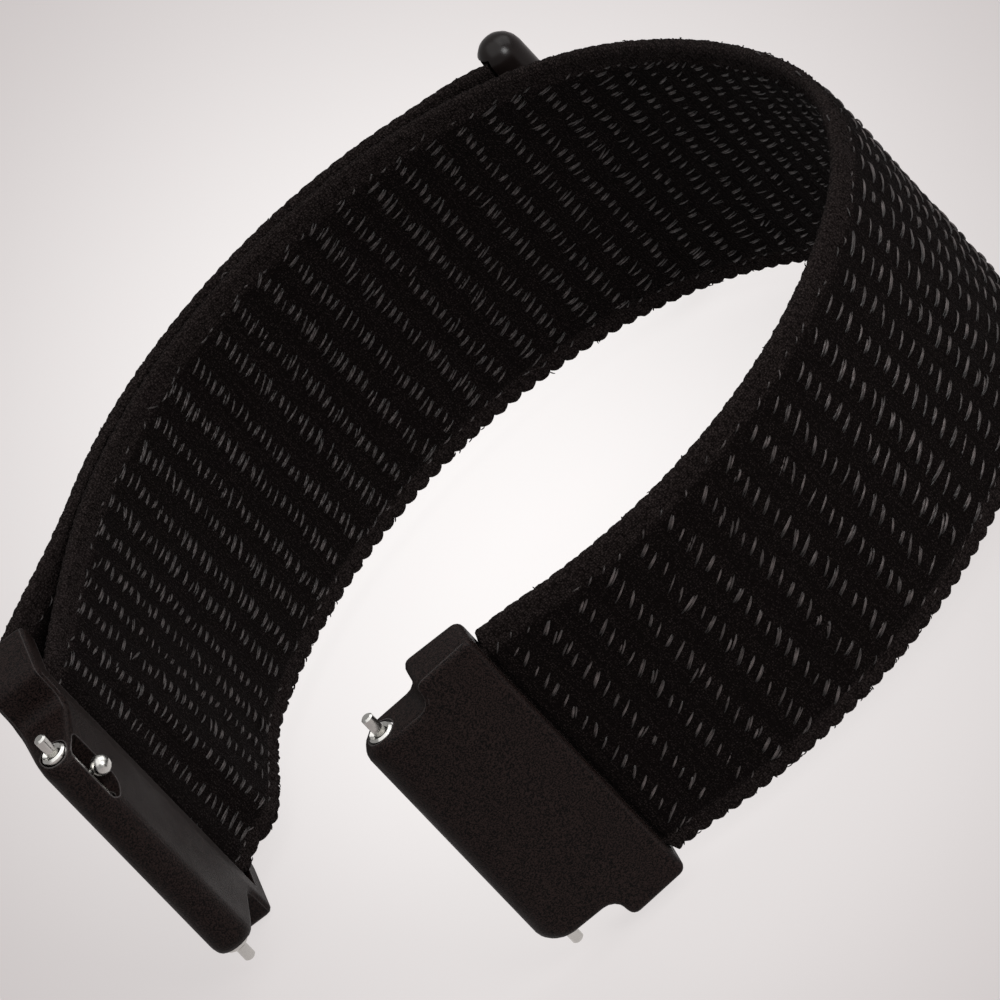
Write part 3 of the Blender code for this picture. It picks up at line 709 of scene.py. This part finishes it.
def moulded_grain():
    """The fine pitted grain of a moulded part, and the soft patches that handling leaves."""
    tree, given, made = new_group(
        "moulded_grain",
        [("Vector", "NodeSocketVector", None), ("Pits per mm", "NodeSocketFloat", 7.0)],
        [("Height", "NodeSocketFloat"), ("Pits", "NodeSocketFloat"), ("Patches", "NodeSocketFloat")],
    )
    place = in_millimetres(tree, given["Vector"])
    pits = add_node(tree, "ShaderNodeTexNoise", {
        "Vector": place, "Scale": given["Pits per mm"], "Detail": 2.0, "Roughness": 0.55,
    }).outputs["Fac"]
    patches = add_node(tree, "ShaderNodeTexNoise", {
        "Vector": place, "Scale": 0.22, "Detail": 3.0, "Roughness": 0.6,
    }).outputs["Fac"]
    tree.links.new(pits, made["Height"])
    tree.links.new(mapped(tree, pits, PIT_DEPTHS), made["Pits"])
    tree.links.new(mapped(tree, patches, PATCH_EDGES), made["Patches"])
    return tree


def edge_highlight_and_wear():
    """1 on the sharp edges of a moulded part and 0 away from them, for a painted highlight along the edges and for
    where handling smooths them.
    """
    tree, given, made = new_group(
        "edge_highlight_and_wear",
        [("Reach", "NodeSocketFloat", 0.2 * MM), ("Contrast", "NodeSocketFloat", 8.0)],
        [("Edge", "NodeSocketFloat")],
    )
    rounded = add_node(tree, "ShaderNodeBevel", {"Radius": given["Reach"]}, samples=6).outputs[0]
    surface = add_node(tree, "ShaderNodeNewGeometry").outputs["Normal"]
    facing = add_node(tree, "ShaderNodeVectorMath", {0: rounded, 1: surface}, operation="DOT_PRODUCT")
    turned = arithmetic(tree, "SUBTRACT", 1.0, facing.outputs["Value"])
    edge = add_node(tree, "ShaderNodeMath", {0: turned, 1: given["Contrast"]},
                    operation="MULTIPLY", use_clamp=True)
    tree.links.new(edge.outputs[0], made["Edge"])
    return tree


# Materials. Colours are in linear light. A pair of them goes from a mask's 0 to its 1.

GROUND_COLOURS = ((0.0018, 0.0009, 0.0008), (0.019, 0.0138, 0.013))
SELVEDGE_COLOURS = ((0.0022, 0.0012, 0.0011), (0.027, 0.0205, 0.0195))
SPECK_HEIGHTS = (0.55, 1.5)
SPECK_SHARPNESS = 2.0
GROUND_ROUGHNESS = (0.98, 0.6)
# A float's own colour is dark; its pale colour is a painted highlight, brighter on the loop side
FLOAT_DARK = (0.0050, 0.0036, 0.0034)
WRIST_FLOAT_HIGHLIGHT = (0.047, 0.038, 0.037)
LOOP_FLOAT_HIGHLIGHT = (0.074, 0.061, 0.059)
FLOAT_HIGHLIGHT_AT = 0.42
FLOAT_HIGHLIGHT_FADE = (0.05, 0.42)
FLOAT_HIGHLIGHT_STRENGTHS = (0.25, 1.0)
YARN_HEIGHTS = (0.0, 1.2)
FLOAT_ROUGHNESS = (0.36, 0.56)
TAPE_COLOURS = ((0.008, 0.0075, 0.0075), (0.02, 0.019, 0.019))
TAPE_ROUGHNESS = (0.42, 0.6)
ADAPTER_COLOURS = ((0.0008, 0.0004, 0.0004), (0.0134, 0.0079, 0.0070))
# The pale edge colour is a painted highlight along the adapter's sharp edges
ADAPTER_EDGE_HIGHLIGHT = (0.060, 0.054, 0.053)
ADAPTER_ROUGHNESS = (0.44, 0.56)
EDGE_SMOOTHNESS = 0.15
TAB_COLOURS = ((0.0055, 0.0036, 0.0033), (0.0085, 0.0062, 0.0058))
TAB_ROUGHNESS = (0.26, 0.34)
STEEL_COLOURS = ((0.50, 0.49, 0.47), (0.66, 0.65, 0.62))
BAR_ROUGHNESS = (0.2, 0.32)
SPRING_ROUGHNESS = (0.3, 0.42)
WHOLE = (0.0, 1.0)


def new_material(name, **constants):
    """A material with its Principled BSDF, whose plain values sit on its own sockets."""
    made = bpy.data.materials.new(name)
    made.use_nodes = True
    shader = made.node_tree.nodes["Principled BSDF"]
    for label, value in constants.items():
        shader.inputs[label.replace("_", " ")].default_value = value
    return made, made.node_tree, shader


def bumped(tree, shader, height, distance, strength):
    inputs = {"Height": height, "Distance": distance, "Strength": strength}
    bump = add_node(tree, "ShaderNodeBump", inputs)
    tree.links.new(bump.outputs["Normal"], shader.inputs["Normal"])


def placed(tree, group, **inputs):
    """The outputs of a node group in a material, with the group's inputs set or linked."""
    made = tree.nodes.new("ShaderNodeGroup")
    made.node_tree = group
    for key, value in inputs.items():
        socket = made.inputs[key.replace("_", " ")]
        if isinstance(value, bpy.types.NodeSocket):
            tree.links.new(value, socket)
        else:
            socket.default_value = value
    return made.outputs


def own_place(tree):
    return add_node(tree, "ShaderNodeTexCoord").outputs["Object"]


def nylon_ground(yarn):
    """The ground between the floats, and the paler selvedges along both edges."""
    made, tree, shader = new_material("nylon_ground", Specular_IOR_Level=0.06, Roughness=0.95)
    place = own_place(tree)
    grain = placed(tree, yarn, Vector=place, Yarns_per_mm=6.0, Fuzz=1.0)
    up = add_node(tree, "ShaderNodeSeparateXYZ", {0: place}).outputs["Z"]
    off_middle = arithmetic(tree, "ABSOLUTE", arithmetic(tree, "SUBTRACT", up, MID_HEIGHT))
    foot = HALF_WIDTH - SELVEDGE_WIDTH
    selvedge = mapped(tree, off_middle, (foot - SELVEDGE_SLOPE, foot))
    speck = arithmetic(tree, "POWER", mapped(tree, grain["Height"], SPECK_HEIGHTS), SPECK_SHARPNESS)
    middle = tinted(tree, grain["Fleck"], *GROUND_COLOURS)
    edge = tinted(tree, speck, *SELVEDGE_COLOURS)
    tree.links.new(tinted(tree, selvedge, middle, edge), shader.inputs["Base Color"])
    rough = mapped(tree, grain["Fleck"], WHOLE, GROUND_ROUGHNESS)
    tree.links.new(rough, shader.inputs["Roughness"])
    bumped(tree, shader, grain["Height"], distance=0.14 * MM, strength=0.9)
    return made


def nylon_float(yarn, name, painted_highlight):
    """A twisted thread of dark colour, with a painted highlight a little before its middle, stronger on some
    threads than others.
    """
    made, tree, shader = new_material(name, Specular_IOR_Level=0.3)
    thread = add_node(tree, "ShaderNodeUVMap", uv_map="thread_map").outputs["UV"]
    parts = add_node(tree, "ShaderNodeSeparateXYZ", {0: thread}).outputs
    number = arithmetic(tree, "FLOOR", parts["Y"])
    chance = add_node(tree, "ShaderNodeTexWhiteNoise", {"W": number}, noise_dimensions="1D")
    off_shine = arithmetic(tree, "SUBTRACT", parts["X"], FLOAT_HIGHLIGHT_AT)
    highlight_share = mapped(tree, arithmetic(tree, "ABSOLUTE", off_shine), FLOAT_HIGHLIGHT_FADE, (1.0, 0.0))
    own_share = mapped(tree, chance.outputs["Value"], WHOLE, FLOAT_HIGHLIGHT_STRENGTHS)
    highlight_strength = arithmetic(tree, "MULTIPLY", highlight_share, own_share)
    # Painted highlight: the thread is painted pale around one place along its length
    tree.links.new(tinted(tree, highlight_strength, FLOAT_DARK, painted_highlight), shader.inputs["Base Color"])
    grain = placed(tree, yarn, Vector=own_place(tree), Yarns_per_mm=6.0, Fuzz=0.5)
    rough = mapped(tree, grain["Height"], YARN_HEIGHTS, FLOAT_ROUGHNESS)
    tree.links.new(rough, shader.inputs["Roughness"])
    twist = add_node(tree, "ShaderNodeTexWave", {
        "Vector": thread, "Scale": 1.6, "Distortion": 0.6, "Detail": 1.0,
    }, bands_direction="DIAGONAL")
    bumped(tree, shader, twist.outputs["Fac"], distance=0.03 * MM, strength=0.6)
    return made


def hook_tape(yarn):
    """The dark tape that carries the hooks, and the hooks."""
    made, tree, shader = new_material("hook_tape", Specular_IOR_Level=0.4)
    grain = placed(tree, yarn, Vector=own_place(tree), Yarns_per_mm=2.6, Fuzz=0.3)
    tree.links.new(tinted(tree, grain["Fleck"], *TAPE_COLOURS), shader.inputs["Base Color"])
    rough = mapped(tree, grain["Height"], YARN_HEIGHTS, TAPE_ROUGHNESS)
    tree.links.new(rough, shader.inputs["Roughness"])
    bumped(tree, shader, grain["Height"], distance=0.05 * MM, strength=0.5)
    return made


def adapter_plastic(grained, lit_and_rubbed_edges):
    """Blasted black plastic. Its sharp edges are painted pale as a painted highlight, and are smoother where
    handling wears them.
    """
    made, tree, shader = new_material("adapter_plastic_finish", Specular_IOR_Level=0.24, IOR=1.25)
    grain = placed(tree, grained, Vector=own_place(tree), Pits_per_mm=9.0)
    edge = placed(tree, lit_and_rubbed_edges, Reach=0.16 * MM, Contrast=9.0)["Edge"]
    blasted = tinted(tree, grain["Pits"], *ADAPTER_COLOURS)
    # Painted highlight: the sharp edges are painted pale
    colour = tinted(tree, edge, blasted, ADAPTER_EDGE_HIGHLIGHT)
    tree.links.new(colour, shader.inputs["Base Color"])
    rough = mapped(tree, grain["Patches"], WHOLE, ADAPTER_ROUGHNESS)
    smoother = arithmetic(tree, "MULTIPLY", edge, EDGE_SMOOTHNESS)
    tree.links.new(arithmetic(tree, "SUBTRACT", rough, smoother), shader.inputs["Roughness"])
    bumped(tree, shader, grain["Height"], distance=0.05 * MM, strength=0.7)
    return made


def tab_plastic(grained):
    """The smoother plastic of the pull tab."""
    made, tree, shader = new_material("tab_plastic_finish", Specular_IOR_Level=0.21)
    grain = placed(tree, grained, Vector=own_place(tree), Pits_per_mm=3.0)
    tree.links.new(tinted(tree, grain["Patches"], *TAB_COLOURS), shader.inputs["Base Color"])
    rough = mapped(tree, grain["Patches"], WHOLE, TAB_ROUGHNESS)
    tree.links.new(rough, shader.inputs["Roughness"])
    bumped(tree, shader, grain["Height"], distance=0.006 * MM, strength=0.4)
    return made


def bright_steel(grained, name, roughness):
    """Bare drawn steel of the bars and their springs."""
    made, tree, shader = new_material(name, Metallic=1.0)
    grain = placed(tree, grained, Vector=own_place(tree), Pits_per_mm=5.0)
    tree.links.new(tinted(tree, grain["Patches"], *STEEL_COLOURS), shader.inputs["Base Color"])
    rough = mapped(tree, grain["Pits"], WHOLE, roughness)
    tree.links.new(rough, shader.inputs["Roughness"])
    bumped(tree, shader, grain["Height"], distance=0.01 * MM, strength=0.4)
    return made


# The floor's colours run from the middle of a painted pool of light round the strap to beyond its reach
FLOOR_COLOURS = ((1.0, 0.97, 0.962), (0.56, 0.52, 0.517))
PAINTED_LIGHT_CENTRE = Vector((0.0, 25.5, 0.0)) * MM
PAINTED_LIGHT_REACH = 60.0 * MM
PAINTED_LIGHT_DEPTH_SHARE = 0.506
FLOOR_OWN_LIGHT_SHARE = 0.88


def pale_floor():
    """Pale, with a painted pool of light round the strap. Most of what is seen of it is its own plain
    colour, and the rest is lit, so that the strap's shadow stays on it."""
    made, tree, shader = new_material("pale_floor", Specular_IOR_Level=0.0, Roughness=1.0)
    moved = add_node(tree, "ShaderNodeVectorMath", {0: own_place(tree), 1: PAINTED_LIGHT_CENTRE},
                     operation="SUBTRACT")
    pool = add_node(tree, "ShaderNodeVectorMath", {0: moved.outputs[0], 1: (1.0, PAINTED_LIGHT_DEPTH_SHARE, 0.0)},
                    operation="MULTIPLY")
    away = add_node(tree, "ShaderNodeVectorMath", {0: pool.outputs[0]}, operation="LENGTH")
    share = add_node(tree, "ShaderNodeMapRange", {"Value": away.outputs["Value"], "From Max": PAINTED_LIGHT_REACH},
                     interpolation_type="SMOOTHSTEP")
    # Painted pool of light: the floor is painted paler round the strap
    colour = tinted(tree, share.outputs["Result"], *FLOOR_COLOURS)
    tree.links.new(colour, shader.inputs["Base Color"])
    glow = add_node(tree, "ShaderNodeEmission", {"Color": colour})
    ray = add_node(tree, "ShaderNodeLightPath").outputs
    mirrored = arithmetic(tree, "MAXIMUM", ray["Is Glossy Ray"], ray["Is Transmission Ray"])
    seen = arithmetic(tree, "MAXIMUM", ray["Is Camera Ray"], mirrored)
    own = arithmetic(tree, "MULTIPLY", seen, FLOOR_OWN_LIGHT_SHARE)
    mixed = add_node(tree, "ShaderNodeMixShader", {0: own, 1: shader.outputs[0], 2: glow.outputs[0]})
    tree.links.new(mixed.outputs[0], tree.nodes["Material Output"].inputs["Surface"])
    return made


# Pieces

COVERED_LENGTH = 0.9 * MM
LOOPS_UP_TO_HOOKS = 1.8 * MM


def band_spans():
    """(name, start, end, bend, node, body, next body) of each piece of the strip. A piece crosses
    at most one joint, and meets the next piece in a rigid part of a section."""
    spans = []
    edges = (FOLD_SEAM, CLASP_SEAM, BAND_SEAMS[0])
    for number, (start, stop) in enumerate(zip(edges, edges[1:])):
        name = f"clasp_weave_{number + 1}"
        spans.append((name, start, stop, None, "band_clasp_section", "band_clasp", None))
    bodies = ("band_clasp", "band_1", "band_2", "band_3", "band_end")
    nodes = ("band_section_1", "band_section_2", "band_section_3", "band_end_section")
    edges = (*BAND_SEAMS, LOOP_LENGTH + TONGUE_LENGTH - TONGUE_GAP)
    for number, node in enumerate(nodes):
        spans.append((
            f"band_weave_{number + 1}", edges[number], edges[number + 1], BAND_BENDS[number],
            node, bodies[number], bodies[number + 1],
        ))
    bodies = ("band_clasp", "flap_1", "flap_2", "flap_3")
    edges = (FOLD_SEAM, *FLAP_SEAMS, -FOLD_LENGTH - FLAP_LENGTH - FLAP_TUCK)
    for number, bend in enumerate(FLAP_BENDS):
        spans.append((
            f"flap_weave_{number + 1}", edges[number + 1], edges[number], -FOLD_LENGTH - bend,
            f"flap_section_{number + 1}", bodies[number], bodies[number + 1],
        ))
    return spans


def band_pieces(fabric):
    """The band, its fold and its flap. The floats stop where the adapter and the tab cover them,
    and the loop side's also stop at the hook patch."""
    for name, start, stop, bend, node, first, second in band_spans():
        cloth = Cloth()
        ground(cloth, start, stop)
        shown_end = min(stop, LOOP_LENGTH - COVERED_LENGTH)
        shown_start = max(start, -FOLD_LENGTH - FLAP_LENGTH + COVERED_LENGTH)
        float_rows(cloth, shown_start, shown_end, WRIST_SIDE)
        loops_start = max(shown_start, -FOLD_LENGTH - HOOK_START + LOOPS_UP_TO_HOOKS)
        if shown_end > loops_start:
            float_rows(cloth, loops_start, shown_end, LOOP_SIDE)
        for side in (WRIST_SIDE, LOOP_SIDE):
            selvedge_threads(cloth, shown_start, shown_end, side)
        stray_loops(cloth, shown_start, shown_end)
        piece = cloth.piece(name, fabric)
        if bend is None:
            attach(piece, first)
        else:
            crossing(piece, bend)
        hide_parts(node)


def crossing(piece, bend):
    """Bakes a piece's placement into its mesh. It finds the points at the ends of the joint's span, round the run
    of a band joint and from the run of a flap joint on, but does not use them, so the piece does not bend."""
    edges = [bend - BEND_REACH, bend + BEND_REACH] if bend > 0 else [bend, bend - FLAP_BEND_LENGTH]
    before, after = on_strip(edges, 0.0, 0.0)
    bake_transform(piece)


# Hook patch: its tape, and the course and radii of one hook as steps along the tape and up from it
TAPE_STATION = 0.5 * MM
TAPE_LOW = 0.01 * MM
TAPE_HIGH = 0.32 * MM
TAPE_RIM = 0.12 * MM
HOOK_MARGIN = 0.7 * MM
HOOK_PITCH_ALONG = 0.95 * MM
HOOK_PITCH_ACROSS = 0.9 * MM
HOOK_FOOT = 0.28 * MM
HOOK_AHEAD = np.array((0.0, 0.02, 0.1, 0.24, 0.34)) * MM
HOOK_UP = np.array((0.0, 0.22, 0.36, 0.4, 0.3)) * MM
HOOK_RADII = np.array((0.13, 0.1, 0.09, 0.085, 0.06)) * MM


def hook_patches(tape):
    """The tape under the flap and its rows of moulded hooks."""
    edges = (HOOK_START, -FLAP_SEAMS[1] - FOLD_LENGTH, HOOK_END)
    for number in (1, 2):
        cloth = Cloth()
        start = -FOLD_LENGTH - edges[number]
        stop = -FOLD_LENGTH - edges[number - 1]
        tape_base(cloth, start, stop)
        hooks(cloth, start, stop)
        piece = cloth.piece(f"hook_tape_{number}", [tape])
        crossing(piece, -FOLD_LENGTH - FLAP_BENDS[number])
        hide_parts(f"hook_patch_{number}")


def tape_base(cloth, start, end):
    """The tape itself, a flat strip with its upper edges cut off."""
    count = round((end - start) / TAPE_STATION) + 1
    run = np.linspace(start, end, count)[:, None]
    half = HOOK_WIDTH / 2
    height = np.array((-half, -half, TAPE_RIM - half, half - TAPE_RIM, half, half))[None, :]
    rim = TAPE_HIGH - TAPE_RIM
    lift = BACKING_LIFT + np.array((TAPE_LOW, rim, TAPE_HIGH, TAPE_HIGH, rim, TAPE_LOW))[None, :]
    columns = height.shape[1]
    faces = grid_faces(count, columns)
    maps = [((0.0, 0.0),) * 4] * len(faces)
    maps += [[(0.0, 0.0)] * columns] * 2
    cloth.add(on_strip(run, height, lift), faces + cap_faces(count, columns), maps, BASE_FINISH)


def hooks(cloth, start, end):
    """Small stems that curl over at the top, in rows that lean to either side in turn."""
    runs = np.arange(start + HOOK_MARGIN, end - HOOK_MARGIN / 2, HOOK_PITCH_ALONG)
    half = HOOK_WIDTH / 2
    heights = np.arange(-half + HOOK_MARGIN, half - HOOK_MARGIN / 2, HOOK_PITCH_ACROSS)
    lean = np.where(np.arange(len(heights)) % 2 == 0, 1.0, -1.0)
    run = np.repeat(runs, len(heights))[:, None]
    height = np.tile(heights, len(runs))[:, None]
    lean = np.tile(lean, len(runs))[:, None]
    course_run = run + lean * HOOK_AHEAD[None, :]
    course = on_strip(course_run, height, BACKING_LIFT + HOOK_FOOT + HOOK_UP[None, :])
    along = np.gradient(course, axis=1)
    along /= np.linalg.norm(along, axis=-1, keepdims=True)
    across = upright(course_run.shape)
    radii = HOOK_RADII[None, :] + 0 * course_run
    tubes(cloth, course, across, np.cross(along, across), radii, BASE_FINISH)


SPRING_WIRE = 0.18 * MM
SPRING_PITCH = 0.9 * MM
SPRING_STEPS = 24
SPRING_SIDES = 10


def bar_springs(steel):
    """A coil in each bar, which its plunger presses together towards the fixed tip."""
    for bar in ("loop_bar", "fixed_bar"):
        low, high = (Vector(corner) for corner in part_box(f"{bar}_spring"))
        middle = sum((Vector(corner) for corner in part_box(f"{bar}_tube")), Vector()) / 2
        radius = (max(high.x - low.x, high.y - low.y) - SPRING_WIRE) / 2
        length = high.z - low.z - SPRING_WIRE
        turns = length / SPRING_PITCH
        share = np.linspace(0.0, 1.0, round(turns * SPRING_STEPS) + 1)[None, :]
        angle = 2 * pi * turns * share
        spoke = in_plan(ahead(angle))
        upward = upright(angle.shape)
        base = np.array((middle.x, middle.y, low.z + SPRING_WIRE / 2))
        course = base + spoke * radius + upward * (length * share[..., None])
        cloth = Cloth()
        tubes(cloth, course, spoke, upward, SPRING_WIRE / 2 + 0 * share, BASE_FINISH, SPRING_SIDES)
        piece = cloth.piece(f"{bar}_coil", [steel])
        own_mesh(piece)
        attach(piece, "loop_adapter" if bar == "loop_bar" else "band_end")
        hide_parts(f"{bar}_spring")


SHADING_ANGLE = radians(32)
JOINING_DISTANCE = 0.002 * MM


def even_shading():
    """Joins a shape's doubled points and shades it smoothly, except over its sharp edges."""
    tree = bpy.data.node_groups.new("even_shading", "GeometryNodeTree")
    tree.interface.new_socket(name="Geometry", in_out="INPUT", socket_type="NodeSocketGeometry")
    tree.interface.new_socket(name="Geometry", in_out="OUTPUT", socket_type="NodeSocketGeometry")
    entry = tree.nodes.new("NodeGroupInput")
    leave = tree.nodes.new("NodeGroupOutput")
    bare = add_node(tree, "GeometryNodeRemoveAttribute", {
        "Geometry": entry.outputs[0], "Name": "custom_normal",
    })
    joined = add_node(tree, "GeometryNodeMergeByDistance", {
        "Geometry": bare.outputs[0], "Distance": JOINING_DISTANCE,
    })
    angle = add_node(tree, "GeometryNodeInputMeshEdgeAngle").outputs["Unsigned Angle"]
    gentle = add_node(tree, "FunctionNodeCompare", {0: angle, 1: SHADING_ANGLE}, operation="LESS_THAN")
    faces = add_node(tree, "GeometryNodeSetShadeSmooth", {0: joined.outputs[0], 2: True}, domain="FACE")
    edges = add_node(tree, "GeometryNodeSetShadeSmooth", {0: faces.outputs[0], 2: gentle.outputs[0]},
                     domain="EDGE")
    tree.links.new(edges.outputs[0], leave.inputs[0])
    return tree


def finish_nodes(finishes):
    """The rigid CAD pieces keep their shapes and take their finish."""
    shading = even_shading()
    by_slot = {entry["node"]: entry["material_slot"] for entry in frame["record"]["subparts"]}
    for name, node in frame["nodes"].items():
        finish = finishes.get(by_slot[name])
        if finish:
            for place in node.material_slots:
                place.material = finish
            node.modifiers.new("even_shading", "NODES").node_group = shading
            weighted = node.modifiers.new("flat_faces_first", "WEIGHTED_NORMAL")
            weighted.keep_sharp = True


# Studio. A lamp has its azimuth, counted from +X, its elevation, its size and its power. The
# sensor's width alone is in millimetres.

CAMERA_TARGET = Vector((0.051, 1.017, 12.806)) * MM
CAMERA_ELEVATION = radians(30.394)
CAMERA_ROLL = radians(-43.43)
CAMERA_DISTANCE = 1327.18 * MM
CAMERA_REACH = (0.1, 20.0)
PIXELS_PER_MM = 15.479
IMAGE_WIDTH = 1000
SENSOR_WIDTH = 36.0
LAMPS = {
    "top_light": (radians(250), radians(80), 1.1, 4.0),
    "key_light": (radians(302), radians(33), 0.3, 4.0),
    "side_light": (radians(12), radians(42), 0.7, 2.5),
}
LAMP_DISTANCE = 0.8
ROOM_COLOUR = (1.0, 0.99, 0.985, 1.0)
ROOM_LIGHT = 0.4
FLOOR_REACH = 4.0
FLOOR_DROP = 0.02 * MM


def camera():
    """The camera at the photograph's viewing angle."""
    forward = Vector((0.0, cos(CAMERA_ELEVATION), -sin(CAMERA_ELEVATION)))
    right = Vector((1.0, 0.0, 0.0))
    up = Vector((0.0, sin(CAMERA_ELEVATION), cos(CAMERA_ELEVATION)))
    x_axis = right * cos(CAMERA_ROLL) + up * sin(CAMERA_ROLL)
    y_axis = up * cos(CAMERA_ROLL) - right * sin(CAMERA_ROLL)
    lens = bpy.data.cameras.new("photo_camera")
    lens.sensor_width = SENSOR_WIDTH
    lens.lens = PIXELS_PER_MM / MM * CAMERA_DISTANCE / IMAGE_WIDTH * SENSOR_WIDTH
    lens.clip_start, lens.clip_end = CAMERA_REACH
    made = bpy.data.objects.new("photo_camera", lens)
    axes = Matrix((x_axis, y_axis, -forward)).transposed().to_4x4()
    made.matrix_world = Matrix.Translation(CAMERA_TARGET - forward * CAMERA_DISTANCE) @ axes
    bpy.context.scene.collection.objects.link(made)
    bpy.context.scene.camera = made


def softbox(name, azimuth, elevation, size, power):
    """A square lamp that faces the strap."""
    lamp = bpy.data.lights.new(name, "AREA")
    lamp.shape = "SQUARE"
    lamp.size = size
    lamp.energy = power
    made = bpy.data.objects.new(name, lamp)
    level_share = cos(elevation)
    away = Vector((cos(azimuth) * level_share, sin(azimuth) * level_share, sin(elevation)))
    made.location = CAMERA_TARGET + away * LAMP_DISTANCE
    made.rotation_euler = away.to_track_quat("Z", "Y").to_euler()
    bpy.context.scene.collection.objects.link(made)


def studio():
    camera()
    world = bpy.data.worlds.new("studio")
    bpy.context.scene.world = world
    world.use_nodes = True
    room = world.node_tree.nodes["Background"].inputs
    room["Color"].default_value = ROOM_COLOUR
    room["Strength"].default_value = ROOM_LIGHT
    for name, settings in LAMPS.items():
        softbox(name, *settings)
    mesh = bpy.data.meshes.new("floor")
    corners = [(x * FLOOR_REACH, y * FLOOR_REACH, 0) for x, y in ((-1, -1), (1, -1), (1, 1), (-1, 1))]
    mesh.from_pydata(corners, [], [(0, 1, 2, 3)])
    mesh.materials.append(pale_floor())
    floor = bpy.data.objects.new("floor", mesh)
    bpy.context.scene.collection.objects.link(floor)
    floor.location.z = -FLOOR_DROP
    bpy.context.scene.view_settings.view_transform = "Standard"


yarn = yarn_grain()
grained = moulded_grain()
lit_and_rubbed_edges = edge_highlight_and_wear()
band_pieces([
    nylon_ground(yarn),
    nylon_float(yarn, "wrist_float", WRIST_FLOAT_HIGHLIGHT),
    nylon_float(yarn, "loop_float", LOOP_FLOAT_HIGHLIGHT),
])
hook_patches(hook_tape(yarn))
finish_nodes({
    "adapter_plastic": adapter_plastic(grained, lit_and_rubbed_edges),
    "tab_plastic": tab_plastic(grained),
    "bar_steel": bright_steel(grained, "bar_steel_finish", BAR_ROUGHNESS),
})
bar_springs(bright_steel(grained, "spring_steel_finish", SPRING_ROUGHNESS))
studio()
